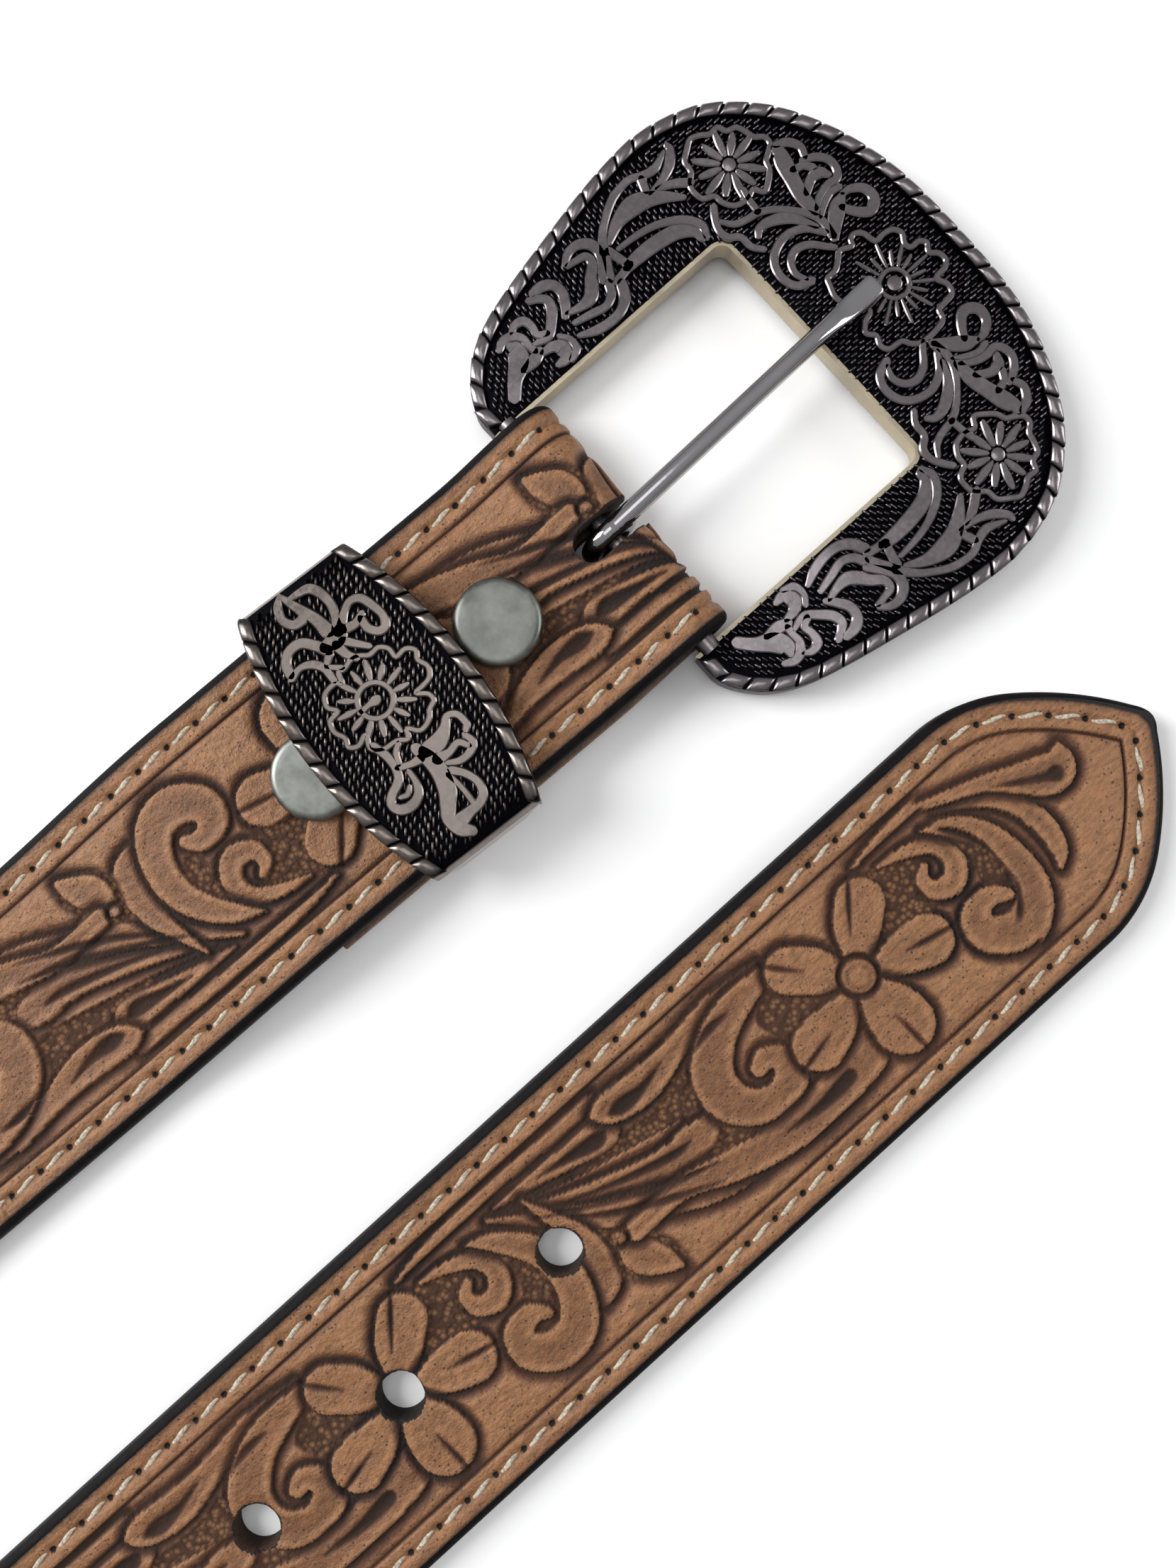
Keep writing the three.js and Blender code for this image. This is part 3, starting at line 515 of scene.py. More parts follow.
def half_width_at(from_tip):
    """Half width of the strap near its tip: three arcs, a round shoulder, a bowed flank and a round nose."""
    s = np.asarray(from_tip, dtype=float)
    nose_end = NOSE_RADIUS * (1 - math.sin(NOSE_ANGLE))
    nose_half = NOSE_RADIUS * math.cos(NOSE_ANGLE)
    flank_half = HALF - SHOULDER_RADIUS * (1 - math.cos(SHOULDER_ANGLE))
    flank_radius = (flank_half - nose_half) / (math.cos(SHOULDER_ANGLE) - math.cos(NOSE_ANGLE))
    flank_end = nose_end + flank_radius * (math.sin(NOSE_ANGLE) - math.sin(SHOULDER_ANGLE))
    point_length = flank_end + SHOULDER_RADIUS * math.sin(SHOULDER_ANGLE)
    nose = np.sqrt(np.clip(NOSE_RADIUS ** 2 - (NOSE_RADIUS - s) ** 2, 0, None))
    sine = np.clip(math.sin(NOSE_ANGLE) - (s - nose_end) / flank_radius, 0, 1)
    flank = nose_half + flank_radius * (np.sqrt(1 - sine ** 2) - math.cos(NOSE_ANGLE))
    back = np.clip(point_length - s, 0, SHOULDER_RADIUS)
    shoulder = HALF - SHOULDER_RADIUS + np.sqrt(SHOULDER_RADIUS ** 2 - back ** 2)
    out = np.where(s <= nose_end, nose, np.where(s <= flank_end, flank, shoulder))
    return np.where(s >= point_length, HALF, out)


def edge_distance(from_tip, across):
    """Distance in from the strap's outline."""
    s = np.asarray(from_tip, dtype=float)
    t = np.abs(np.asarray(across, dtype=float))
    out = half_width_at(s) - t
    near = s < TIP_ZONE
    if not near.any():
        return out
    rim_s = np.concatenate([np.linspace(0, 1.4, 12) ** 2, np.linspace(2.1, TIP_ZONE + 15, 200)])
    rim = np.stack([rim_s, half_width_at(rim_s)], axis=1)
    gap = line_gap(np.stack([s[near], t[near]], axis=1), rim)
    out[near] = np.where(out[near] >= 0, gap, -gap)
    return out


# Tooled pattern: charted strokes of one repeat, along the strap and across it, from a flower's centre

REPEAT = 80.9
FIRST_FLOWER = 46.9
TIP_FLOWER = FIRST_FLOWER + 12 * REPEAT
STROKE_STEPS = 5
BEVEL_WIDTH = 2.1
BEVEL_DEPTH = 0.78
BEVEL_POWER = 1.6
CUT_DEPTH = 0.4
MATTED_DEPTH = 0.72
MATTED_FADE = 1.2
LEAF_HOLLOW = 0.16
PETAL_HOLLOW = 0.1

GROUNDS = [
    [(-14.0, 5.0), (-12.0, 6.6), (-9.6, 7.6), (-9.2, 4.6), (-6.0, 2.0), (-8.8, 1.2), (-12.6, 1.0),
     (-13.6, 2.8)],
    [(9.6, 9.8), (14.2, 8.0), (16.4, 6.0), (14.2, 4.8), (13.0, 2.4), (14.4, 0.2), (12.0, 0.4),
     (6.5, 1.8), (8.6, 5.0)],
    [(21.6, 5.0), (23.8, 1.4), (24.2, -1.6), (22.6, -3.2), (20.6, -1.4), (21.6, 1.2)],
    [(-44.0, 6.2), (-36.0, 5.8), (-30.0, 5.6), (-26.2, 6.6), (-26.4, 3.4), (-27.6, 2.0), (-33.0, 2.6),
     (-44.0, 3.6)],
    [(-29.6, -3.0), (-26.6, -2.0), (-24.8, -3.4), (-23.0, -5.2), (-26.4, -5.4), (-29.0, -4.8)],
    [(32.0, -2.4), (34.2, -1.6), (37.8, -5.0), (39.8, -9.4), (38.6, -12.0), (33.0, -9.4), (31.0, -6.0)],
]

# Leaves that lie below others come first: along, across, half width
LEAVES = [
    [(9.0, 11.4, 0.3), (16.0, 12.1, 0.7), (26.0, 12.2, 0.9), (36.0, 11.8, 1.0), (43.0, 11.7, 1.1),
     (44.0, 11.6, 0.9)],
    [(25.0, 9.8, 0.3), (31.0, 9.2, 1.0), (37.0, 8.3, 1.7), (41.2, 7.6, 2.3), (43.0, 7.8, 1.7)],
    [(27.5, 8.0, 0.3), (35.6, 5.0, 0.8), (42.0, 3.4, 0.9), (48.0, 2.2, 0.7), (51.0, 2.0, 0.3)],
    [(24.6, 8.7, 0.3), (32.5, 4.4, 1.2), (39.6, 1.2, 1.8), (46.0, -1.0, 2.2), (51.0, -1.2, 2.3),
     (53.6, -0.8, 1.2)],
    [(23.2, 9.3, 0.4), (30.0, 3.6, 1.3), (36.0, -0.8, 1.9), (43.0, -4.6, 2.2), (50.0, -7.8, 2.0),
     (58.0, -9.6, 1.2)],
    [(-44.0, -4.6, 1.4), (-36.0, -4.6, 1.5), (-29.0, -6.8, 2.2), (-22.0, -8.6, 2.4), (-15.0, -8.9, 2.6),
     (-7.0, -8.2, 2.8), (-4.5, -7.6, 2.4)],
    [(-38.5, 10.2, 0.4), (-35.6, 9.4, 2.2), (-30.4, 8.8, 2.4), (-24.0, 9.6, 1.6), (-17.0, 10.9, 1.0),
     (-9.0, 10.6, 0.4)],
    [(-9.6, 8.9, 1.3), (-14.5, 8.4, 2.1), (-19.0, 7.0, 2.5), (-22.8, 3.9, 2.9), (-23.7, 0.0, 2.9),
     (-21.6, -3.2, 2.5), (-18.4, -4.2, 2.1), (-15.4, -3.5, 2.3), (-14.6, -1.2, 1.9), (-16.2, 0.6, 1.5),
     (-17.8, 0.2, 1.2)],
    [(11.5, 9.2, 0.3), (15.5, 8.3, 0.9), (19.0, 6.4, 1.3), (19.8, 3.4, 1.5), (17.8, 1.1, 1.6),
     (15.2, 1.9, 1.4), (14.8, 4.0, 1.0), (16.2, 5.2, 0.6)],
    [(28.4, 8.2, 0.3), (29.6, 4.4, 0.9), (30.8, 0.4, 1.6), (30.9, -3.6, 2.0), (29.8, -6.6, 2.1),
     (27.6, -8.2, 1.2)],
    [(19.0, 8.9, 0.2), (22.0, 6.8, 1.3), (24.8, 3.5, 1.9), (26.4, -0.5, 2.2), (25.9, -5.0, 2.4),
     (23.3, -8.6, 2.6), (19.5, -9.2, 2.7), (16.5, -7.0, 2.5), (16.7, -4.2, 2.0), (19.5, -3.4, 1.5),
     (21.3, -4.6, 0.9)],
    [(34.9, -4.9, 1.2), (35.4, -7.4, 2.5), (37.0, -9.6, 1.9), (38.4, -11.8, 0.5)],
]

# Leaves at the strap's very end, past its last flower
TIP_LEAVES = [
    [(14.2, 8.8, 0.3), (17.2, 7.5, 0.9), (19.4, 5.5, 1.2), (19.9, 2.4, 1.4), (18.0, 0.4, 1.5),
     (15.2, 0.9, 1.6), (14.7, 3.4, 1.3), (15.5, 5.0, 0.9)],
    [(18.9, 11.7, 0.5), (24.8, 8.8, 1.1), (28.9, 5.8, 1.3), (31.2, 2.0, 1.5), (31.7, -1.8, 1.6),
     (31.1, -5.0, 1.2), (29.6, -7.0, 0.4)],
    [(18.4, 12.6, 0.4), (23.1, 10.6, 0.8), (29.3, 8.1, 1.2), (33.5, 5.3, 2.1), (35.9, 3.6, 2.8),
     (37.6, 2.9, 2.7), (39.0, 3.4, 2.0), (40.4, 5.2, 0.4)],
    [(18.9, 9.4, 0.2), (23.1, 6.9, 0.9), (25.4, 3.2, 1.4), (26.0, -1.4, 1.9), (25.4, -5.6, 2.3),
     (23.6, -8.3, 2.6), (20.3, -9.7, 3.0), (17.2, -8.3, 3.0), (15.8, -5.4, 2.6), (17.0, -3.4, 2.1),
     (18.9, -3.1, 1.8), (20.7, -3.7, 1.3), (22.0, -4.9, 0.9)],
]

# Petals from their base to their tip
PETALS = [
    [(-1.8, 2.0, 1.9), (-4.0, 4.8, 3.2), (-6.4, 7.0, 3.3)],
    [(1.9, 2.3, 1.9), (4.2, 5.2, 3.2), (6.7, 7.4, 3.4)],
    [(-4.0, -1.6, 2.0), (-7.0, -2.3, 3.1), (-9.9, -2.8, 3.6)],
    [(4.2, -1.0, 2.0), (7.2, -1.6, 3.1), (10.0, -2.2, 3.6)],
    [(0.2, -3.6, 2.6), (0.3, -6.2, 3.9), (0.3, -8.2, 4.2)],
]

# Round buttons: the flower's middle, and a bead between the leaves
BUTTONS = [(0.0, 0.35, 2.7), (34.7, -3.9, 1.1)]

# Knife cuts, first those of the petals and then those of the leaves: along, across, half width
CUTS = [
    [(-8.8, 10.0, 0.25), (-7.0, 7.8, 0.3), (-5.0, 5.6, 0.05)],
    [(7.6, 10.8, 0.25), (5.4, 8.2, 0.3), (2.8, 5.0, 0.05)],
    [(-13.7, -4.0, 0.25), (-10.8, -3.4, 0.3), (-7.6, -2.7, 0.05)],
    [(13.5, -3.0, 0.25), (10.0, -2.2, 0.3), (6.9, -1.4, 0.05)],
    [(0.5, -12.6, 0.25), (0.4, -9.8, 0.3), (0.2, -6.6, 0.05)],
    [(-23.2, 7.4, 0.05), (-19.6, 8.4, 0.55), (-16.2, 8.3, 0.1)],
    [(-20.6, -8.4, 0.05), (-15.0, -8.9, 0.6), (-10.0, -8.6, 0.9), (-9.4, -8.5, 0.3)],
    [(-36.4, 8.9, 0.2), (-34.4, 8.6, 1.0), (-31.0, 8.6, 0.5), (-27.0, 9.4, 0.05)],
    [(42.2, 7.6, 0.3), (40.6, 7.5, 1.0), (36.4, 8.3, 0.5), (32.0, 9.1, 0.05)],
    [(33.0, 4.0, 0.05), (40.0, 1.4, 0.35), (47.0, -0.6, 0.5), (50.0, -0.8, 0.1)],
    [(31.0, 2.8, 0.05), (37.0, -1.4, 0.35), (44.0, -5.0, 0.4), (50.0, -7.6, 0.1)],
    [(28.0, 5.4, 0.05), (33.0, 2.6, 0.3), (41.0, -1.6, 0.35), (49.0, -4.6, 0.1)],
    [(-42.0, -3.0, 0.05), (-36.0, -3.6, 0.3), (-30.0, -5.2, 0.1)],
]
TIP_CUTS = CUTS[:5] + [
    [(29.7, 7.1, 0.05), (33.2, 4.9, 0.3), (36.3, 3.1, 0.5), (37.6, 2.6, 1.0)],
    [(24.2, -1.2, 0.05), (23.6, -5.0, 0.3), (21.0, -8.0, 0.5), (18.6, -8.0, 0.1)],
]


def stroke_gap(x, t, rows):
    """Distance from a tapered stroke, below 0 inside it."""
    curve = spline_points(rows, STROKE_STEPS) if len(rows) > 2 else np.asarray(rows, dtype=float)
    best = np.full(x.shape, 1e9)
    for a, b in zip(curve[:-1], curve[1:]):
        dx, dt = b[0] - a[0], b[1] - a[1]
        share = np.clip(((x - a[0]) * dx + (t - a[1]) * dt) / (dx * dx + dt * dt + 1e-9), 0, 1)
        gap = np.hypot(x - a[0] - share * dx, t - a[1] - share * dt) - (a[2] + share * (b[2] - a[2]))
        best = np.minimum(best, gap)
    return best


def polygon_gap(x, t, corners):
    """Distance from a polygon, below 0 inside it."""
    corners = spline_points(corners, 3, closed=True)
    best = np.full(x.shape, 1e9)
    inside = np.zeros(x.shape, dtype=bool)
    for (ax, at), (bx, bt) in zip(corners, np.roll(corners, -1, axis=0)):
        dx, dt = bx - ax, bt - at
        share = np.clip(((x - ax) * dx + (t - at) * dt) / (dx * dx + dt * dt + 1e-9), 0, 1)
        best = np.minimum(best, np.hypot(x - ax - share * dx, t - at - share * dt))
        crosses = (at > t) != (bt > t)
        inside ^= crosses & (x < ax + (t - at) * dx / (dt if abs(dt) > 1e-9 else 1e-9))
    return np.where(inside, -best, best)


def valley(away, place, width, depth):
    """Depth of a soft groove at some distances."""
    return depth * np.exp(-((away - place) / width) ** 2)


class Pattern:
    """A map of the tooled surface: its height in millimetres and its share of matting."""

    def __init__(self, start, end, step):
        self.step = step
        self.along = np.arange(start, end + step / 2, step)
        self.across = np.arange(-HALF - step, HALF + 1.5 * step, step)
        self.x, self.t = np.meshgrid(self.along, self.across, indexing="ij")
        self.height = np.zeros(self.x.shape)
        self.matted = np.zeros(self.x.shape)

    def window(self, rows, margin):
        """The part of the map round some rows."""
        rows = np.asarray(rows, dtype=float)
        reach = margin + (rows[:, 2].max() if rows.shape[1] > 2 else 0)
        i0, i1 = np.searchsorted(self.along, (rows[:, 0].min() - reach, rows[:, 0].max() + reach))
        j0, j1 = np.searchsorted(self.across, (rows[:, 1].min() - reach, rows[:, 1].max() + reach))
        return slice(i0, i1), slice(j0, j1)

    def mat_down(self, corners):
        part = self.window(corners, 2.0)
        share = smooth(0.5 - polygon_gap(self.x[part], self.t[part], corners) / MATTED_FADE)
        self.height[part] = np.minimum(self.height[part], -MATTED_DEPTH * share)
        self.matted[part] = np.maximum(self.matted[part], share)

    def raise_leaf(self, rows, hollow):
        """A leaf stands on the face: its outline is bevelled down outside, and it sinks a little inside."""
        part = self.window(rows, BEVEL_WIDTH + 0.5)
        gap = stroke_gap(self.x[part], self.t[part], rows)
        outside = gap > 0
        bevel = -BEVEL_DEPTH * np.clip(1 - gap / BEVEL_WIDTH, 0, 1) ** BEVEL_POWER
        inside = -hollow * smooth((-gap - 0.25) / 1.3) - 0.12 * np.clip(1 + gap / 0.3, 0, 1)
        self.height[part] = np.where(outside, np.minimum(self.height[part], bevel), inside)
        self.matted[part] = np.where(outside, self.matted[part], 0)

    def cut(self, rows):
        part = self.window(rows, 1.2)
        gap = stroke_gap(self.x[part], self.t[part], rows)
        self.height[part] -= CUT_DEPTH * smooth(0.5 - gap / 0.6) + 0.25 * np.clip(-gap, 0, 1)

    def raise_button(self, x, t, radius):
        part = self.window([(x, t, radius)], 1.2)
        away = np.hypot(self.x[part] - x, self.t[part] - t)
        groove = -valley(away, radius, 0.38, 0.85)
        dome = -0.28 + 0.26 * np.sqrt(np.clip(1 - (away / radius) ** 2, 0, 1))
        dome -= valley(away, radius * 0.55, 0.3, 0.12)
        base = np.minimum(np.where(away < radius, dome, self.height[part]), groove)
        self.height[part] = np.where(away < radius * 0.8, dome, base)

    def at(self, x, t):
        """Height and matting at places on the strap, read from the map."""
        u = np.clip((x - self.along[0]) / self.step, 0, len(self.along) - 1.001)
        v = np.clip((t - self.across[0]) / self.step, 0, len(self.across) - 1.001)
        i, j = u.astype(int), v.astype(int)
        du, dv = u - i, v - j
        out = []
        for field in (self.height, self.matted):
            low = field[i, j] * (1 - du) + field[i + 1, j] * du
            high = field[i, j + 1] * (1 - du) + field[i + 1, j + 1] * du
            out.append(low * (1 - dv) + high * dv)
        return out


def shifted(rows, shift):
    return [(row[0] + shift, *row[1:]) for row in rows]


def tool_pattern(pattern, grounds, leaves, cuts, beads, shifts):
    """Presses one flower and its leaves into a map, once for each shift."""
    for shift in shifts:
        for corners in grounds:
            pattern.mat_down(shifted(corners, shift))
    for shift in shifts:
        for rows in leaves:
            pattern.raise_leaf(shifted(rows, shift), LEAF_HOLLOW)
    for shift in shifts:
        for rows in PETALS:
            pattern.raise_leaf(shifted(rows, shift), PETAL_HOLLOW)
        for x, t, radius in beads:
            pattern.raise_button(shift + x, t, radius)
        for rows in cuts:
            pattern.cut(shifted(rows, shift))


# Maps of one repeat and of the tip, measured from a flower's centre
MAP_STEP = 0.14
REPEAT_START = -30.0
TIP_MAP_START = 5.0
TIP_MAP_END = 56.0
TIP_BLEND_START = 20.0
TIP_BLEND = 2.0
repeat_map = Pattern(REPEAT_START, REPEAT_START + REPEAT, MAP_STEP)
tool_pattern(repeat_map, GROUNDS, LEAVES, CUTS, BUTTONS, (-REPEAT, 0.0, REPEAT))
tip_map = Pattern(TIP_MAP_START, TIP_MAP_END, MAP_STEP)
tool_pattern(tip_map, GROUNDS[1:3], TIP_LEAVES, TIP_CUTS, BUTTONS[:1], (0.0,))

# Border line, stitching and the edges' own rounding, measured in from the strap's edge
BORDER_INSET = 5.2
STITCH_INSET = 3.2
STITCH_PITCH = 4.9
STITCH_LENGTH = 3.65
STITCH_LEAN = math.radians(13)
STITCH_START = -1.5
STITCH_GROOVE = 0.42
HOLE_SPREAD = 0.42
THREAD_RADIUS = 0.34
THREAD_PROUD = 0.5
THREAD_TWIST = 13.0
BACK_STITCH_END = 32.0
EDGE_RADIUS = 1.15
BACK_RADIUS = 0.7
EDGE_COLUMNS = 6
PAINT_START = -12.0

# Kinds of stitches: name, sides, rings, plumpness of the twist, and whether they lie behind
STITCH_KINDS = [
    ("stitches", 9, 16, 0.13, False),
    ("stitch_backs", 5, 4, 0.0, True),
]

# Lengths of the strap's pieces, how finely they are meshed, and their material slots
NEAR_END = 118.0
TIP_PIECE = 192.0
NOSE_ZONE = 6.0
FINE_STEP = 0.3
FINE_COLUMNS = 116
MIDDLE_STEP = 0.62
MIDDLE_COLUMNS = 78
BACK_SLOT = 1
EDGE_SLOT = 2

# Openings cut in the strap, and the heights between which the cuts reach
SLOT_HALF = 2.45
SLOT_END = 5.5
POST_HOLE_RADIUS = 1.9
CUT_LOW = -2.0
FOLD_CUT_HIGH = 14.0
TIP_CUT_HIGH = 8.0


def row_line():
    """The stitches' line on the left of the belt, up to the tip, with the distance along it."""
    from_tip = np.linspace(45, 0.02, 400)
    rim = np.stack([BELT_LENGTH - from_tip, half_width_at(from_tip)], axis=1)
    row = offset_line(rim, STITCH_INSET)
    row = row[row[:, 1] > 0.8]
    row = np.vstack([[STITCH_START, HALF - STITCH_INSET], row])
    return row, far_along(row)


_row, _far = row_line()
NEEDLE_HOLES = read_at(np.arange(0, _far[-1], STITCH_PITCH), _far, _row)


def hole_nearness(run, across, inset):
    """1 in the middle of a needle hole, falling to 0 round it."""
    near = np.abs(inset - STITCH_INSET) < 3 * HOLE_SPREAD
    out = np.zeros(run.shape)
    points = np.stack([run[near], np.abs(across[near])], axis=1)
    after = np.clip(np.searchsorted(NEEDLE_HOLES[:, 0], points[:, 0]), 1, len(NEEDLE_HOLES) - 1)
    best = np.minimum(*(((points - NEEDLE_HOLES[after - k]) ** 2).sum(axis=1) for k in (0, 1)))
    out[near] = np.exp(-best / HOLE_SPREAD ** 2)
    return out


def surface_at(run, across):
    """Height over the leather's face, share of matting, share of black (edge paint, and painted shade in the
    needle holes) and relief for its colour.
    """
    x = (run - FIRST_FLOWER - REPEAT_START) % REPEAT + REPEAT_START
    past = run - TIP_FLOWER
    tip_share = smooth((past - TIP_BLEND_START) / TIP_BLEND)
    inset = edge_distance(BELT_LENGTH - run, across)
    inside_border = smooth((inset - BORDER_INSET + 0.2) / 0.6)
    height, matted = ((field * (1 - tip_share) + tip_field * tip_share) * inside_border
                      for field, tip_field in zip(repeat_map.at(x, across), tip_map.at(past, across)))
    height -= valley(inset, BORDER_INSET, 0.2, 0.55) + valley(inset, BORDER_INSET + 0.5, 0.5, 0.1)
    groove = valley(inset, STITCH_INSET, 0.5, STITCH_GROOVE)
    hole = hole_nearness(run, across, inset)
    # Black edge paint near the rim, plus painted shade darkening the needle holes
    paint_and_hole_shade = np.maximum(np.clip(1.3 - inset / 1.6, 0, 1), smooth(hole * 1.5))
    relief = 1 + np.minimum(height - 0.25 * groove + 0.06, 0) / 0.6 - 0.35 * smooth(1 - inset / 2.6)
    return height - groove - 0.5 * hole, matted, paint_and_hole_shade, relief


def stitch_row(side):
    """Run, place across and slope of every stitch on one side of the belt, up to the tip."""
    row, far = row_line()
    stops = np.arange(STITCH_PITCH / 2, far[-1], STITCH_PITCH)
    run, across = read_at(stops, far, row).T
    ahead, up = read_at(stops + 0.5, far, row).T
    slope = np.arctan2(up - across, ahead - run)
    return run, across * side, slope * side


def strap_frame(run):
    """Centre line, width's direction, face's normal and thickness of the strap past its fold."""
    x, y, heading = plan_at(run)
    from_buckle = (run - FLAT_RUN) / TWIST_RUN
    from_tip = (BELT_LENGTH - TIP_REACH - FLAT_RUN - run) / TWIST_RUN
    roll = smooth(np.minimum(from_buckle, from_tip)) * math.pi / 2
    zero = np.zeros_like(run)
    outward = np.stack([np.sin(heading), -np.cos(heading), zero], axis=1)
    up = np.stack([zero, zero, zero + 1], axis=1)
    cosine, sine = np.cos(roll)[:, None], np.sin(roll)[:, None]
    normal = up * cosine + outward * sine
    across = -outward * cosine + up * sine
    lift = UPPER_BOTTOM * (1 - smooth((run - FLAP_LENGTH) / SETTLE_RUN))
    stand = HALF * np.sin(roll) + STRAP_THICKNESS / 2 * np.cos(roll)
    centre = np.stack([x, y, lift + stand], axis=1)
    inner = centre - normal * STRAP_THICKNESS / 2
    return inner, across, normal, np.full(len(run), STRAP_THICKNESS)


def fold_frame(step):
    """The same for the flap and the fold, with the run of the tooled pattern, which starts at the fold."""
    along = np.array([-math.cos(BRANCH_SPLAY), math.sin(BRANCH_SPLAY)])
    down = -math.pi / 2
    under, over = BAR_HEIGHT - FOLD_INNER, BAR_HEIGHT + FOLD_INNER
    rows = []
    for run in np.arange(FLAP_LENGTH, FOLD_RUN, -step * 2):
        rows.append((run, FLAP_TOP, down, FLAP_THICKNESS))
    for run in np.arange(FOLD_RUN, step / 2, -step):
        share = float(smooth(1 - run / FOLD_RUN))
        rows.append((run, FLAP_TOP + (under - FLAP_TOP) * share, down, FLAP_THICKNESS))
    turns = max(int(math.pi * (FOLD_INNER + FOLD_THICKNESS) / step), 8)
    for i in range(turns):
        tilt = down + math.pi * i / turns
        thick = FLAP_THICKNESS + (FOLD_THICKNESS - FLAP_THICKNESS) * i / turns
        rows.append((-FOLD_INNER * math.cos(tilt), BAR_HEIGHT + FOLD_INNER * math.sin(tilt), tilt, thick))
    for run in np.arange(0, FOLD_RUN, step):
        share = float(smooth(run / FOLD_RUN))
        thick = FOLD_THICKNESS + (STRAP_THICKNESS - FOLD_THICKNESS) * share
        rows.append((run, over + (UPPER_BOTTOM - over) * share, -down, thick))
    run, height, tilt, thick = np.array(rows).T
    normal = np.stack([-along[0] * np.cos(tilt), -along[1] * np.cos(tilt), np.sin(tilt)], axis=1)
    inner = np.stack([along[0] * run, along[1] * run, height], axis=1)
    width = np.tile([-along[1], along[0], 0.0], (len(run), 1))
    on_flap = np.sin(tilt) < -0.999
    inner += width * (FLAP_SHIFT * smooth(run / FOLD_RUN) * on_flap)[:, None]
    start = np.argmax(np.sin(tilt) > 0.999)
    far = far_along(inner + normal * thick[:, None])
    pattern_run = np.where(np.arange(len(run)) >= start, run, far - far[start])
    return inner, width, normal, thick, pattern_run


def rounding(half, radius, steps):
    """Places across and depths of a rounded right-hand edge, from its outside inwards."""
    return [(half - radius + radius * math.cos(a), radius * (1 - math.sin(a)))
            for a in np.linspace(0, math.pi / 2, steps)]


def strap_mesh(name, run, frames, columns, materials):
    """One closed length of the strap: tooled on its face, napped behind, its edges painted past the flap."""
    inner, width, normal, thick = frames
    from_tip = BELT_LENGTH - run
    half = half_width_at(np.maximum(from_tip, 0))
    flat = np.zeros(len(run))
    bevel = np.minimum(EDGE_RADIUS, half * 0.45)
    right = rounding(half, bevel, EDGE_COLUMNS)
    tops = [(-a, -z) for a, z in right]
    tops += [((half - bevel) * share, flat) for share in np.linspace(-1, 1, columns)[1:-1]]
    tops += [(a, -z) for a, z in reversed(right)]
    sunk = np.where((from_tip > BACK_STITCH_END) & (run > FLAP_LENGTH), STITCH_GROOVE, 0.0)
    row_at = np.maximum(half - STITCH_INSET, half * 0.8)
    right = rounding(half, np.minimum(BACK_RADIUS, half * 0.3), 3)
    right += [(row_at + 0.5, flat), (row_at, sunk), (row_at - 0.5, flat)]
    under = right + [(flat, flat)] + [(-a, z) for a, z in reversed(right)]
    across, level = (np.stack([pair[k] for pair in tops + under], axis=1) for k in (0, 1))
    face = across[:, :len(tops)]
    run_grid = np.repeat(run[:, None], len(tops), axis=1)
    height, matted, paint_and_hole_shade, relief = (field.reshape(face.shape)
                                     for field in surface_at(run_grid.ravel(), face.ravel()))
    for s in HOLE_RUNS:
        away = np.hypot(run_grid - (BELT_LENGTH - s), face)
        lip = np.exp(-np.clip(away - HOLE_RADIUS, 0, None) / 0.5)
        height = height - 0.35 * np.where(away < HOLE_RADIUS + 2.5, lip, 0)
        paint_and_hole_shade = np.maximum(paint_and_hole_shade, np.where(away < HOLE_RADIUS + 0.25, 0.9, 0))
    paint_and_hole_shade[run < PAINT_START] = 0
    level[:, :len(tops)] = thick[:, None] + level[:, :len(tops)] + height
    points = inner[:, None] + width[:, None] * across[..., None] + normal[:, None] * level[..., None]
    values = {}
    for key, field, rest in (("relief", relief, 0.9), ("matted", matted, 0.0), ("paint_and_hole_shade", paint_and_hole_shade, 1.0)):
        values[key] = np.concatenate([field, np.full((len(run), len(under)), rest)], axis=1).ravel()
    ring = across.shape[1]
    column = np.arange(ring)
    i = np.arange(len(run) - 1)[:, None] * ring
    after = (column + 1) % ring
    quads = np.stack([i + column, i + ring + column, i + ring + after, i + after], axis=-1).reshape(-1, 4)
    is_back = (column > len(tops) + 1) & (column < ring - 3)
    is_edge = ~is_back & ((column < EDGE_COLUMNS - 1) | (column > len(tops) - EDGE_COLUMNS - 1))
    slots = np.where(is_back, BACK_SLOT, np.where(is_edge, EDGE_SLOT, 0))
    slots = np.tile(slots, (len(run) - 1, 1))
    slots[(run[:-1] < PAINT_START)[:, None] & is_edge] = BACK_SLOT
    last = (len(run) - 1) * ring + column[::-1]
    faces = quads.tolist() + [column.tolist(), last.tolist()]
    slots = np.concatenate([slots.ravel(), [EDGE_SLOT, EDGE_SLOT]])
    points = points.reshape(-1, 3) + (BAR_X, BAR_Y, 0)
    return make_object(name, points, faces, materials, slots, values=values)


def punch(target, run, radius, sides, high):
    """Cuts a round hole through the strap, at a run from the bar."""
    x, y, _ = plan_at(run)
    cut_away(target, cutter(circle(BAR_X + float(x), BAR_Y + float(y), radius, sides), high))


def cutter(outline, high):
    """A prism that a Boolean cuts with, from below the floor up."""
    parts = Parts()
    parts.loft([[(x, y, z) for x, y in outline] for z in (CUT_LOW, high)])
    return bare_shape("cutter", parts)


def circle(x, y, radius, sides):
    angles = np.arange(sides) / sides * 2 * math.pi
    return [(x + radius * math.cos(a), y + radius * math.sin(a)) for a in angles]


def cut_away(target, tool):
    """Cuts a tool's shape out of a piece, for good."""
    modifier = target.modifiers.new("cut", "BOOLEAN")
    modifier.operation = "DIFFERENCE"
    modifier.object = tool
    modifier.solver = "EXACT"
    apply_modifiers(target)
    bpy.data.objects.remove(tool)


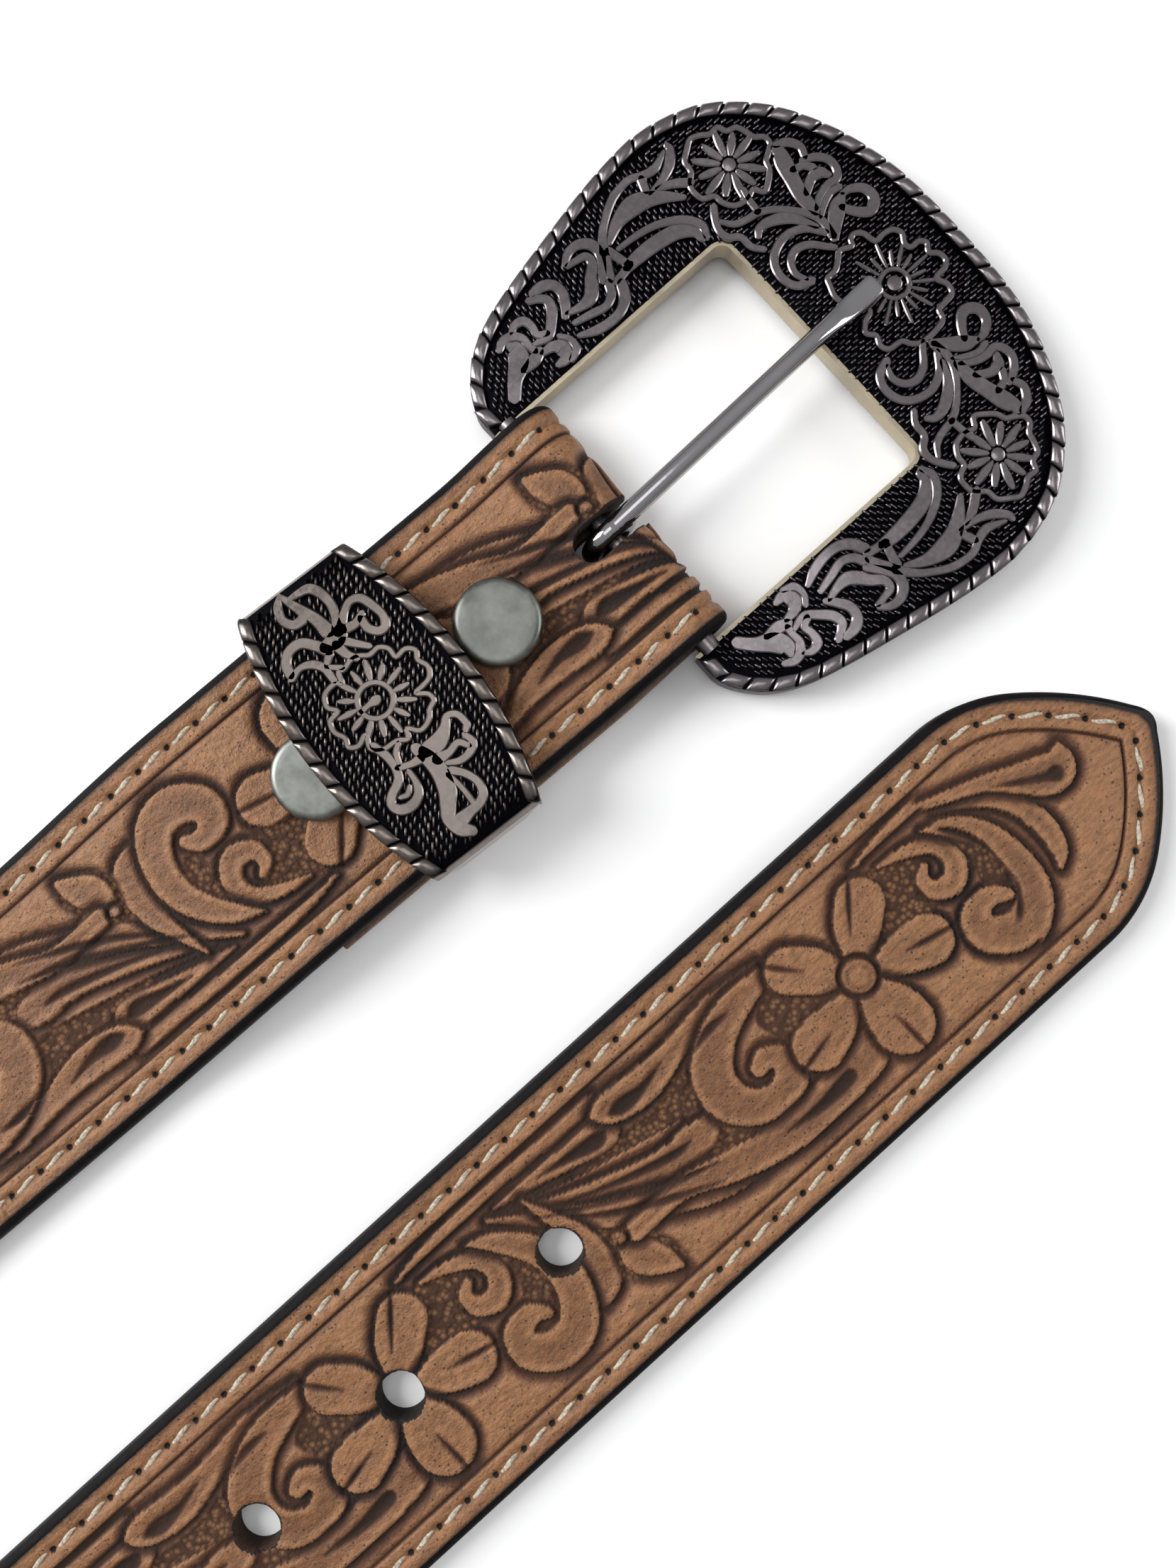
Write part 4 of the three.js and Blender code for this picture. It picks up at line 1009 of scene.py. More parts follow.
def apply_modifiers(target):
    graph = bpy.context.evaluated_depsgraph_get()
    finished = bpy.data.meshes.new_from_object(target.evaluated_get(graph))
    target.modifiers.clear()
    old = target.data
    target.data = finished
    bpy.data.meshes.remove(old)


def near_frames():
    """The strap's frame from the flap's end through the fold and past the keeper, and the run of each row."""
    *folded, pattern_run = fold_frame(FINE_STEP)
    straight = np.arange(FOLD_RUN, NEAR_END, FINE_STEP)
    frames = [np.concatenate([a, b]) for a, b in zip(folded, strap_frame(straight))]
    return frames, np.concatenate([pattern_run, straight])


def make_strap(*materials):
    frames, run_table = near_frames()
    buckle_end = strap_mesh("strap_buckle_end", run_table, frames, FINE_COLUMNS, materials)
    outline = [(BAR_X + SLOT_HALF - SLOT_END + SLOT_HALF * math.cos(a), BAR_Y + SLOT_HALF * math.sin(a))
               for a in np.linspace(math.pi / 2, 3 * math.pi / 2, 17)]
    outline += [(BAR_X + 8, BAR_Y - SLOT_HALF), (BAR_X + 8, BAR_Y + SLOT_HALF)]
    cut_away(buckle_end, cutter(outline, FOLD_CUT_HIGH))
    for run in SNAP_PLACES:
        punch(buckle_end, run, POST_HOLE_RADIUS, 20, FOLD_CUT_HIGH)
    pieces = [buckle_end]
    last = float(run_table[-1])
    tip_start = BELT_LENGTH - TIP_PIECE
    middle = np.linspace(last, tip_start, int((tip_start - last) / MIDDLE_STEP) + 1)
    for i, part in enumerate(np.array_split(np.arange(len(middle) - 1), 2)):
        runs = middle[part[0]:part[-1] + 2]
        pieces.append(strap_mesh(f"strap_middle_{i + 1}", runs, strap_frame(runs), MIDDLE_COLUMNS, materials))
    body = np.arange(tip_start, BELT_LENGTH - NOSE_ZONE, FINE_STEP)
    nose = BELT_LENGTH - NOSE_ZONE * (1 - np.linspace(0, 1, 34)) ** 1.7
    end = BELT_LENGTH - 0.02
    runs = np.concatenate([body, nose[(nose > body[-1] + 0.02) & (nose < end)], [end]])
    tip = strap_mesh("strap_tip_end", runs, strap_frame(runs), FINE_COLUMNS, materials)
    for s in HOLE_RUNS:
        target = tip if s < TIP_PIECE - HOLE_RADIUS else pieces[-1]
        punch(target, BELT_LENGTH - s, HOLE_RADIUS, 40, TIP_CUT_HIGH)
    pieces.append(tip)
    for piece in pieces:
        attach(piece, "strap")
        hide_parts("strap")


# Cast and drawn metal

# Bevel of a raised line's shoulders, and how deep relief is rooted in its ground
RIBBON_BEVEL = 0.16
RELIEF_ROOT = 0.15


class Parts:
    """Gathers closed shapes, in millimetres, into one mesh."""

    def __init__(self):
        self.points, self.faces, self.slots, self.count = [], [], [], 0

    def loft(self, rings, slot=0, closed=False):
        """A closed skin through rings of points, with flat ends unless the rings close on themselves."""
        rings = np.asarray(rings, dtype=float)
        count, size = rings.shape[:2]
        faces = []
        for i in range(count if closed else count - 1):
            after = (i + 1) % count
            for j in range(size):
                k = (j + 1) % size
                faces.append((i * size + j, i * size + k, after * size + k, after * size + j))
        if not closed:
            faces.append(tuple(reversed(range(size))))
            faces.append(tuple((count - 1) * size + j for j in range(size)))
        self.points.append(rings.reshape(-1, 3))
        self.faces += [tuple(c + self.count for c in face) for face in faces]
        self.slots += [slot] * len(faces)
        self.count += count * size

    def ribbon(self, rows, low, high, steps=5, closed=False, swell=0.0):
        """A flat-topped raised line with bevelled sides and round ends; rows of place and half width."""
        curve = spline_points(rows, steps, closed)
        curve[:, 2] += swell
        if not closed:
            curve = round_ends(curve)
        ahead = np.roll(curve, -1, axis=0) - np.roll(curve, 1, axis=0)
        if not closed:
            ahead[0], ahead[-1] = curve[1] - curve[0], curve[-1] - curve[-2]
        along = ahead[:, :2] / (np.linalg.norm(ahead[:, :2], axis=1)[:, None] + 1e-9)
        left = np.stack([-along[:, 1], along[:, 0]], axis=1)
        half = np.maximum(curve[:, 2], 0.02)
        edge = np.minimum(RIBBON_BEVEL, half * 0.5)
        shoulder = high - edge * 0.9
        ring = []
        for side, inset, level in ((-1, 0, low), (-1, 0, shoulder), (-1, 1, high),
                                   (1, 1, high), (1, 0, shoulder), (1, 0, low)):
            place = curve[:, :2] + left * (side * (half - inset * edge))[:, None]
            ring.append(np.column_stack([place, np.full(len(curve), level)]))
        self.loft(np.stack(ring, axis=1), closed=closed)

    def plate(self, outline, low, high, slot=0, bevel=0.25, base_bevel=0.0):
        """A flat plate with an anticlockwise outline and a bevelled top edge."""
        outline = np.asarray(outline, dtype=float)
        levels = [(base_bevel, low), (0.0, low + base_bevel), (0.0, high - bevel),
                  (bevel * 0.3, high - bevel * 0.3), (bevel, high)]
        self.loft([np.column_stack([inset_outline(outline, inset), np.full(len(outline), z)])
                   for inset, z in levels], slot)

    def build(self, name, materials, angle=38, bend=None):
        points = np.concatenate(self.points)
        if bend is not None:
            points = bend(points)
        made = make_object(name, points + (BAR_X, BAR_Y, 0), self.faces, materials, self.slots)
        made.data.set_sharp_from_angle(angle=math.radians(angle))
        return made


def round_ends(curve):
    """Adds narrowing rows past both ends of a tapered line."""
    out = list(curve)
    for end in (0, -1):
        place, inner = curve[end], curve[1 if end == 0 else -2]
        along = place[:2] - inner[:2]
        along = along / (np.linalg.norm(along) + 1e-9)
        extra = [[*(place[:2] + along * place[2] * 0.9 * math.sin(a)), place[2] * math.cos(a)]
                 for a in (0.45, 0.9, 1.25, 1.48)]
        out = (extra[::-1] + out) if end == 0 else (out + extra)
    return np.array(out)


def inset_outline(outline, inset):
    """An anticlockwise outline moved inwards."""
    ahead = np.roll(outline, -1, axis=0) - outline
    ahead /= np.linalg.norm(ahead, axis=1)[:, None] + 1e-9
    normal = np.stack([-ahead[:, 1], ahead[:, 0]], axis=1)
    joint = normal + np.roll(normal, 1, axis=0)
    joint /= np.maximum((joint ** 2).sum(axis=1) / 2, 0.6)[:, None]
    return outline + joint * inset


def mirrored(rows):
    return [(x, -y, *rest) for x, y, *rest in rows]


def spaced(points, step):
    """Points a step apart along a line, both ends kept."""
    points = np.asarray(points, dtype=float)
    far = far_along(points)
    return read_at(np.linspace(0, far[-1], max(int(round(far[-1] / step)), 1) + 1), far, points)


def inside_outline(points, outline):
    """Which points lie inside an outline."""
    x, y = points[:, 0], points[:, 1]
    inside = np.zeros(len(points), dtype=bool)
    for (ax, ay), (bx, by) in zip(outline, np.roll(outline, -1, axis=0)):
        if ay != by:
            inside ^= ((ay > y) != (by > y)) & (x < ax + (y - ay) * (bx - ax) / (by - ay))
    return inside


# Geometry Nodes: one shape set on many places


def scatter_tree():
    """Sets a shape on each point of the mesh, turned and sized by the point's own attributes."""
    tree = bpy.data.node_groups.new("set_on_points", "GeometryNodeTree")
    kinds = {"Places": "Geometry", "Shape": "Object", "Size": "Float", "Finish": "Material"}
    for name, kind in kinds.items():
        tree.interface.new_socket(name, in_out="INPUT", socket_type="NodeSocket" + kind)
    tree.interface.new_socket("Result", in_out="OUTPUT", socket_type="NodeSocketGeometry")
    start = tree.nodes.new("NodeGroupInput").outputs
    end = tree.nodes.new("NodeGroupOutput").inputs
    shape = add_node(tree, "GeometryNodeObjectInfo", {"Object": start["Shape"]})
    turn, size = (add_node(tree, "GeometryNodeInputNamedAttribute", {"Name": name}, data_type="FLOAT_VECTOR")
                  for name in ("turn", "size"))
    rotation = add_node(tree, "FunctionNodeEulerToRotation", {0: turn.outputs["Attribute"]})
    scale = add_node(tree, "ShaderNodeVectorMath", {0: size.outputs["Attribute"]}, operation="SCALE")
    tree.links.new(start["Size"], scale.inputs["Scale"])
    placed = add_node(tree, "GeometryNodeInstanceOnPoints", {
        "Points": start["Places"], "Instance": shape.outputs["Geometry"],
        "Rotation": rotation.outputs[0], "Scale": scale.outputs[0]})
    real = add_node(tree, "GeometryNodeRealizeInstances", {"Geometry": placed.outputs[0]})
    finish = {"Geometry": real.outputs[0], "Material": start["Finish"]}
    tree.links.new(add_node(tree, "GeometryNodeSetMaterial", finish).outputs[0], end["Result"])
    return tree


def set_on_points(name, places, turns, sizes, shape, material):
    """One mesh with a shape on each place; places in millimetres, turns as Euler angles, sizes as scales."""
    mesh = bpy.data.meshes.new(name)
    mesh.from_pydata((np.asarray(places) * MM).tolist(), [], [])
    for key, data in (("turn", turns), ("size", sizes)):
        layer = mesh.attributes.new(key, "FLOAT_VECTOR", "POINT")
        layer.data.foreach_set("vector", np.asarray(data, dtype=np.float32).ravel())
    holder = bpy.data.objects.new(name, mesh)
    bpy.context.scene.collection.objects.link(holder)
    tree = scatter_tree()
    modifier = holder.modifiers.new("set_on_points", "NODES")
    modifier.node_group = tree
    sockets = {item.name: item.identifier for item in tree.interface.items_tree if item.in_out == "INPUT"}
    modifier[sockets["Shape"]] = shape
    modifier[sockets["Size"]] = 1.0
    modifier[sockets["Finish"]] = material
    apply_modifiers(holder)
    bpy.data.objects.remove(shape)
    for key in ("turn", "size"):
        if key in holder.data.attributes:
            holder.data.attributes.remove(holder.data.attributes[key])
    return holder


def frame_turns(along, normal):
    """Euler angles that turn X to a direction and Z to a normal."""
    turns = []
    for x, z in zip(along, normal):
        x, z = Vector(x).normalized(), Vector(z).normalized()
        y = z.cross(x).normalized()
        turns.append(Matrix((x, y, x.cross(y))).transposed().to_euler())
    return turns


def join_objects(target, others):
    """Joins meshes into the first one, with their materials."""
    with bpy.context.temp_override(active_object=target, selected_editable_objects=[target, *others]):
        bpy.ops.object.join()


def thread_shape(sides, rings, plump):
    """One stitch: a twisted thread that dives into the leather at both ends, along X."""
    parts = Parts()
    skin = []
    for share in np.arange(rings + 1) / rings:
        arch = math.sin(math.pi * share) ** 0.3
        z = THREAD_RADIUS * (-0.75 + 1.2 * arch)
        radius = THREAD_RADIUS * (0.75 + 0.25 * arch)
        ring = []
        for a in 2 * math.pi * np.arange(sides) / sides:
            out = radius * (1 + plump * math.cos(2 * a - share * THREAD_TWIST))
            ring.append(((share - 0.5) * STITCH_LENGTH, out * math.cos(a), z + out * 0.85 * math.sin(a)))
        skin.append(ring)
    parts.loft(skin)
    return bare_shape("stitch", parts)


def bare_shape(name, parts):
    """A small shape at the origin, to be set on points."""
    return make_object(name, np.concatenate(parts.points), parts.faces, [])


def make_stitches(thread, frames, run_table):
    """Both rows of stitches on the face, and their plainer backs."""
    for name, sides, rings, plump, on_back in STITCH_KINDS:
        places, alongs, normals = [], [], []
        for side in (1, -1):
            run, across, slope = stitch_row(side)
            if on_back:
                keep = (run > FLAP_LENGTH + 4) & (run < BELT_LENGTH - BACK_STITCH_END - 4)
                run, across, slope = run[keep], across[keep], slope[keep]
            inner, width, normal, thick = frame_at(run, frames, run_table)
            lean = (slope + (-STITCH_LEAN if on_back else STITCH_LEAN))[:, None]
            level = np.full(run.shape, THREAD_PROUD) if on_back else thick - THREAD_PROUD
            places.append(inner + width * across[:, None] + normal * level[:, None])
            alongs.append(np.cross(width, normal) * np.cos(lean) + width * np.sin(lean))
            normals.append(-normal if on_back else normal)
        places = np.concatenate(places) + (BAR_X, BAR_Y, 0)
        turns = frame_turns(np.concatenate(alongs), np.concatenate(normals))
        shape = thread_shape(sides, rings, plump)
        made = set_on_points(name, places, turns, np.ones((len(places), 3)), shape, thread)
        made.data.shade_smooth()
        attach(made, "strap")


def frame_at(run, frames, run_table):
    """The strap's frame at any run, from the fold's table near the bar and from the path beyond it."""
    near = (run < run_table[-1])[:, None]
    out = []
    for table, beyond in zip(frames, strap_frame(np.maximum(run, FOLD_RUN))):
        read = read_at(run, run_table, table.reshape(len(run_table), -1))
        both = np.where(near, read, beyond.reshape(len(run), -1))
        out.append(both[:, 0] if both.shape[1] == 1 else both)
    return out


# Buckle: heights over the floor, and its ornament charted from the bar, lower half only

FOOT_HEIGHT = 1.4
FOOT_INSET = 1.2
FOOT_WIDTH = 6.0
LIP_WIDTH = 0.35
GROUND_HEIGHT = 5.2
RELIEF_TOP = 6.0
ROPE_WIDTH = 1.9
ROPE_TURNS = 58
BAR_RADIUS = 1.5
BAR_SEAT = 0.8

# A turn of the rope border, and a bar of the hatching: steps are along a row and from row to row
ROPE_BASE = -0.5
ROPE_RISE = 0.42
ROPE_LAG = 1.0
ROPE_FILL = 0.93
HATCH_WIDTH = 0.36
HATCH_RISE = 0.42
BUCKLE_HATCH_STEPS = (1.32, 0.6)
BUCKLE_HATCH_LENGTH = 1.15
KEEPER_HATCH_STEPS = (1.62, 0.58)
KEEPER_HATCH_LENGTH = 1.5

BUCKLE_EDGE = [
    (-0.036, 0.545), (-0.033, 0.636), (0.002, 0.73), (0.054, 0.804), (0.123, 0.856), (0.219, 0.898),
    (0.332, 0.937), (0.437, 0.971), (0.526, 0.992), (0.606, 1.0), (0.689, 0.979), (0.769, 0.929),
    (0.834, 0.848), (0.89, 0.743), (0.939, 0.597), (0.973, 0.44), (0.994, 0.259), (1.0, 0.0),
]

BUCKLE_SCROLLS = [
    [(2.9, -22.0, 0.75), (4.6, -23.8, 0.9), (6.6, -25.2, 1.35), (7.4, -26.8, 1.1), (7.2, -27.7, 0.5)],
    [(6.4, -24.0, 0.5), (8.2, -24.1, 0.8), (9.5, -24.5, 0.7)],
    [(5.7, -28.2, 0.4), (6.9, -28.8, 0.55), (8.2, -28.5, 0.6), (9.1, -27.4, 0.5), (9.1, -26.2, 0.45),
     (9.2, -25.0, 0.5)],
    [(8.5, -28.9, 0.3), (9.6, -29.4, 0.5), (10.8, -29.0, 0.6), (11.1, -27.6, 0.5), (10.9, -26.4, 0.45),
     (11.9, -25.7, 0.5)],
    [(9.8, -24.1, 0.4), (11.4, -23.8, 0.7), (12.2, -22.7, 1.0), (11.5, -21.5, 0.75), (10.3, -21.5, 0.4)],
    [(12.1, -20.9, 0.4), (13.5, -21.5, 0.5), (13.8, -23.0, 0.4), (13.0, -24.3, 0.35)],
    [(9.8, -25.7, 0.3), (11.8, -25.2, 0.5), (13.4, -26.4, 0.6), (14.7, -27.8, 0.65), (15.0, -29.1, 0.6),
     (14.2, -30.0, 0.5), (13.1, -30.6, 0.45)],
    [(15.3, -25.7, 0.4), (16.4, -27.0, 0.6), (17.2, -28.4, 0.65), (17.0, -30.0, 0.65),
     (15.8, -30.9, 0.7), (14.2, -31.0, 0.55)],
    [(15.0, -22.6, 0.3), (17.2, -21.6, 0.6), (19.4, -21.2, 0.6), (21.4, -21.4, 0.6), (23.0, -22.4, 0.7),
     (23.9, -24.0, 0.7)],
    [(15.7, -24.3, 0.35), (18.2, -23.7, 0.5), (20.3, -23.2, 0.5), (21.9, -23.9, 0.55),
     (22.7, -25.2, 0.6)],
    [(15.8, -25.9, 0.3), (17.7, -25.4, 0.55), (19.4, -25.4, 0.85), (20.6, -26.3, 0.85),
     (21.6, -27.6, 0.7), (22.9, -28.8, 0.6), (22.8, -30.1, 0.5), (21.4, -30.5, 0.4),
     (20.1, -30.7, 0.35)],
    [(22.3, -26.0, 0.5), (23.7, -27.7, 0.6), (24.6, -29.3, 0.65), (24.3, -31.0, 0.7), (22.9, -32.0, 0.6),
     (21.3, -31.9, 0.5), (20.0, -31.0, 0.35)],
    [(23.6, -24.7, 0.5), (26.4, -25.2, 0.55)],
    [(26.3, -25.6, 0.5), (25.6, -28.4, 0.6)],
    [(23.2, -25.4, 0.5), (24.9, -28.4, 0.6)],
    [(26.0, -25.2, 0.7), (28.0, -25.3, 0.9), (31.0, -25.1, 1.0), (34.0, -24.4, 0.95), (35.8, -22.8, 0.6),
     (36.1, -21.4, 0.45)],
    [(26.8, -27.9, 0.3), (30.0, -27.6, 0.4), (33.0, -26.8, 0.45), (35.8, -25.1, 0.55),
     (37.2, -22.9, 0.55), (36.6, -21.2, 0.45)],
    [(26.4, -29.3, 0.35), (29.0, -30.6, 0.8), (32.0, -31.0, 1.35), (34.4, -30.2, 1.05),
     (36.4, -28.8, 0.7), (38.0, -27.3, 0.35)],
    [(25.0, -28.8, 0.7), (26.6, -30.8, 0.5), (28.4, -32.2, 0.45), (31.0, -33.6, 0.5),
     (34.0, -34.0, 0.45), (35.8, -33.2, 0.5), (37.6, -32.8, 0.55), (39.2, -33.3, 0.35),
     (40.1, -33.7, 0.2)],
    [(34.8, -31.3, 0.5), (35.4, -32.8, 0.55)],
    [(35.0, -30.6, 0.3), (37.6, -31.0, 0.45), (39.6, -31.9, 0.6), (41.0, -33.3, 0.5),
     (41.1, -34.1, 0.35)],
    [(36.1, -30.5, 0.3), (38.2, -29.6, 0.55), (40.0, -28.2, 0.6)],
    [(41.2, -14.8, 0.35), (40.2, -16.2, 0.4), (40.0, -18.1, 0.42), (38.7, -19.3, 0.45),
     (38.5, -20.9, 0.42), (39.3, -22.5, 0.45), (40.1, -23.6, 0.4)],
    [(39.4, -21.5, 0.25), (40.6, -20.0, 0.4), (42.2, -19.4, 0.42), (44.0, -19.1, 0.45)],
    [(41.8, -16.6, 0.35), (42.7, -17.3, 0.5), (44.3, -17.1, 0.65), (46.2, -16.0, 0.7),
     (47.5, -14.4, 0.5), (48.4, -12.4, 0.4)],
    [(43.9, -19.1, 0.45), (45.4, -18.3, 0.42), (46.9, -17.0, 0.4), (48.6, -14.9, 0.42),
     (49.6, -12.6, 0.5), (49.3, -10.0, 0.55)],
    [(44.1, -19.4, 0.4), (44.3, -21.2, 0.42), (44.6, -22.6, 0.4)],
    [(49.8, -14.0, 0.7), (49.9, -16.8, 0.95), (50.5, -19.4, 1.0), (51.1, -21.6, 1.15),
     (51.6, -23.2, 0.9), (51.4, -24.0, 0.5)],
    [(50.6, -16.7, 0.5), (52.4, -17.7, 0.6), (53.8, -17.6, 0.75), (54.5, -16.6, 0.4)],
    [(51.4, -20.2, 0.5), (52.8, -19.8, 0.45), (53.6, -18.7, 0.5)],
    [(50.1, -14.2, 0.35), (51.8, -15.2, 0.45), (53.4, -15.6, 0.5), (55.0, -15.5, 0.5),
     (55.9, -16.6, 0.5), (55.9, -18.2, 0.5), (54.8, -19.6, 0.5), (53.2, -20.4, 0.4)],
    [(53.8, -20.5, 0.4), (54.3, -22.0, 0.5), (53.4, -23.6, 0.55), (51.9, -24.3, 0.5)],
    [(43.0, -7.4, 0.55), (41.2, -8.1, 0.5), (40.4, -9.8, 0.5), (40.7, -12.0, 0.5), (42.2, -13.6, 0.5),
     (44.8, -14.2, 0.5), (47.2, -13.2, 0.45), (48.9, -11.0, 0.4)],
    [(42.6, -8.0, 0.3), (42.1, -9.6, 0.4), (42.8, -11.2, 0.45), (44.4, -11.9, 0.5), (46.2, -11.2, 0.45),
     (47.6, -9.6, 0.4), (48.4, -8.7, 0.35)],
    [(49.2, -9.6, 0.5), (50.8, -11.2, 0.9), (52.6, -12.6, 1.0), (53.8, -13.2, 0.5)],
    [(52.8, -12.0, 0.5), (54.0, -10.2, 0.6), (55.4, -9.2, 0.7), (56.9, -10.2, 0.7), (56.8, -12.0, 0.6),
     (55.4, -13.2, 0.5), (54.2, -13.4, 0.35)],
    [(49.8, -13.0, 0.3), (51.4, -14.0, 0.4), (53.0, -14.6, 0.42), (54.4, -14.4, 0.4)],
]

CENTRE_FLOWER = [
    (56.0, 1.9), (57.3, 1.8), (58.0, 0.9), (57.3, -0.2), (58.2, -1.2), (58.3, -2.5), (57.4, -3.2),
    (55.6, -3.5), (56.2, -5.0), (55.8, -6.4), (54.2, -6.7), (53.0, -6.9), (52.5, -8.2), (50.6, -8.7),
    (48.4, -8.6), (47.2, -7.9), (46.4, -6.7), (44.5, -6.4), (43.9, -5.3), (44.4, -3.9), (43.6, -2.7),
    (44.6, -1.5), (46.0, -0.9), (46.0, 1.0), (44.4, 1.9), (43.9, 3.6), (44.4, 5.2), (44.9, 6.2),
    (46.4, 6.3), (47.4, 7.0), (48.6, 7.9), (50.2, 7.3), (50.8, 8.1), (51.7, 8.3), (52.6, 7.4),
    (53.0, 5.7), (54.4, 5.7), (55.8, 5.3), (56.4, 4.1), (55.7, 2.8),
]
CENTRE_FLOWER_MIDDLE = (51.0, -0.3)
SIDE_FLOWER = [
    (44.2, -21.4), (42.4, -21.8), (41.4, -23.2), (41.2, -24.6), (39.8, -25.4), (39.5, -26.7),
    (39.8, -28.1), (41.1, -29.2), (41.4, -30.8), (42.8, -31.9), (44.0, -32.6), (45.4, -32.1),
    (46.4, -31.4), (47.8, -31.4), (48.4, -30.2), (49.7, -29.7), (50.3, -28.2), (50.6, -27.1),
    (51.6, -26.2), (51.6, -25.0), (50.6, -24.2), (49.6, -23.6), (49.1, -22.4), (47.9, -21.3),
    (46.6, -20.6), (45.6, -21.8),
]
SIDE_FLOWER_MIDDLE = (45.5, -26.5)


def buckle_edge():
    """The frame's outer edge, clockwise from the upper tail to the lower one."""
    upper = [(along * BUCKLE_REACH, across * BUCKLE_HALF_WIDTH) for along, across in BUCKLE_EDGE]
    lower = [(x, -y) for x, y in reversed(upper[:-1])]
    return spline_points(upper + lower, 10)


def window_edge():
    """The window's edge from the lower tail round to the upper one."""
    corner = []
    for side in (-1, 1):
        for i in range(7):
            angle = (-math.pi / 2 if side < 0 else 0) + i / 6 * math.pi / 2
            corner.append((WINDOW_REACH - WINDOW_FILLET + WINDOW_FILLET * math.cos(angle),
                           side * (WINDOW_HALF - WINDOW_FILLET) + WINDOW_FILLET * math.sin(angle)))
    tail = BUCKLE_EDGE[0][0] * BUCKLE_REACH
    return np.array([(tail, -WINDOW_HALF), *corner, (tail, WINDOW_HALF)])


def rope_shape(pitch):
    """One turn of a rope border along X, its inner side to -Y and lagging behind."""
    parts = Parts()
    rings = []
    for share in (-0.5, -0.46, -0.36, -0.15, 0.15, 0.36, 0.46, 0.5):
        rise = (1 - (abs(share) * 2) ** 4) ** 0.5 if abs(share) < 0.5 else 0.0
        ring = []
        for across in (-0.5, -0.5, -0.44, -0.3, 0.0, 0.3, 0.44, 0.5, 0.5):
            dome = 0.62 + 0.38 * (1 - (abs(across) * 2) ** 3)
            z = ROPE_BASE + (ROPE_RISE - ROPE_BASE) * (0.45 + 0.55 * rise) * dome
            ring.append([share * pitch * ROPE_FILL + across * ROPE_LAG, across * (ROPE_WIDTH - 0.16), z])
        ring[0][2] = ring[-1][2] = ROPE_BASE
        rings.append(ring)
    parts.loft(rings)
    return bare_shape("rope_turn", parts)


def rope_on(name, line, turns, level, material):
    """A row of rope turns along a clockwise line."""
    middle = offset_line(line, ROPE_WIDTH / 2)
    far = far_along(middle)
    pitch = far[-1] / turns
    stops = (np.arange(turns) + 0.5) * pitch
    ahead = read_at(stops + 0.4, far, middle) - read_at(stops - 0.4, far, middle)
    places = np.column_stack([read_at(stops, far, middle) + (BAR_X, BAR_Y), np.full(turns, level)])
    turns_by = np.column_stack([np.zeros((turns, 2)), np.arctan2(ahead[:, 1], ahead[:, 0])])
    made = set_on_points(name, places, turns_by, np.ones((turns, 3)), rope_shape(pitch), material)
    made.data.shade_smooth()
    made.data.set_sharp_from_angle(angle=math.radians(50))
    return made


def bar_shape(length):
    """A short raised bar with a ridge, along X."""
    parts = Parts()
    rings = []
    for share, wide, tall in ((-0.5, 0.35, 0.4), (-0.36, 0.5, 1.0), (0.36, 0.5, 1.0), (0.5, 0.35, 0.4)):
        x, y, z = share * length, HATCH_WIDTH * wide, HATCH_RISE * tall
        rings.append([(x, -y, -0.1), (x, y, -0.1), (x, y * 0.6, z), (x, -y * 0.6, z)])
    parts.loft(rings)
    return bare_shape("bar", parts)


def staggered(low, high, step, row_step):
    """Places in rows, every second row shifted by half a step."""
    x, y = np.meshgrid(np.arange(low[0], high[0], step), np.arange(low[1], high[1], row_step))
    return np.column_stack([(x + (np.round(y / row_step) % 2) * step / 2).ravel(), y.ravel()])


def hatch_on(name, places, turns, level, length, material, seed):
    """Short bars on the ground, a little uneven."""
    chance = np.random.default_rng(seed)
    count = len(places)
    jitter = chance.normal(0, 0.05, (count, 2))
    where = np.column_stack([places + jitter + (BAR_X, BAR_Y), np.full(count, level)])
    turn = np.column_stack([np.zeros((count, 2)), turns + chance.normal(0, 0.07, count)])
    sizes = np.column_stack([chance.uniform(0.75, 1.08, count), chance.uniform(0.75, 1.15, count),
                             chance.uniform(0.7, 1.25, count)])
    return set_on_points(name, where, turn, sizes, bar_shape(length), material)


def scroll_lines(scrolls, loops):
    """Centre lines of all ribbons with their half widths."""
    lines = [spline_points(rows, 3) for rows in scrolls]
    return np.concatenate(lines + [np.column_stack([loop, np.full(len(loop), 0.45)]) for loop in loops])


def clear_of(points, rows, margin):
    """Which points keep a margin from every ribbon."""
    keep = np.ones(len(points), dtype=bool)
    for x, y, half in rows:
        keep &= np.hypot(points[:, 0] - x, points[:, 1] - y) > half + margin
    return keep


def flower_bars(parts, middle, radii, count, half, low, high, turn=0.0):
    """Radial bars of a flower, long and short in turn."""
    for i in range(count):
        angle = turn + i / count * 2 * math.pi
        start, end = radii[0], radii[1] if i % 2 == 0 else radii[2]
        spoke = [(middle[0] + r * math.cos(angle), middle[1] + r * math.sin(angle), half * w)
                 for r, w in ((start, 0.7), ((start + end) / 2, 1.1), (end, 0.8))]
        parts.ribbon(spoke, low, high, steps=2)


def loop_rows(points, half):
    """Rows of a ribbon of one width."""
    return [(x, y, half) for x, y in points]


def disc(parts, middle, radius, low, high):
    parts.plate(circle(*middle, radius, 24), low, high, bevel=min(0.3, radius * 0.4))


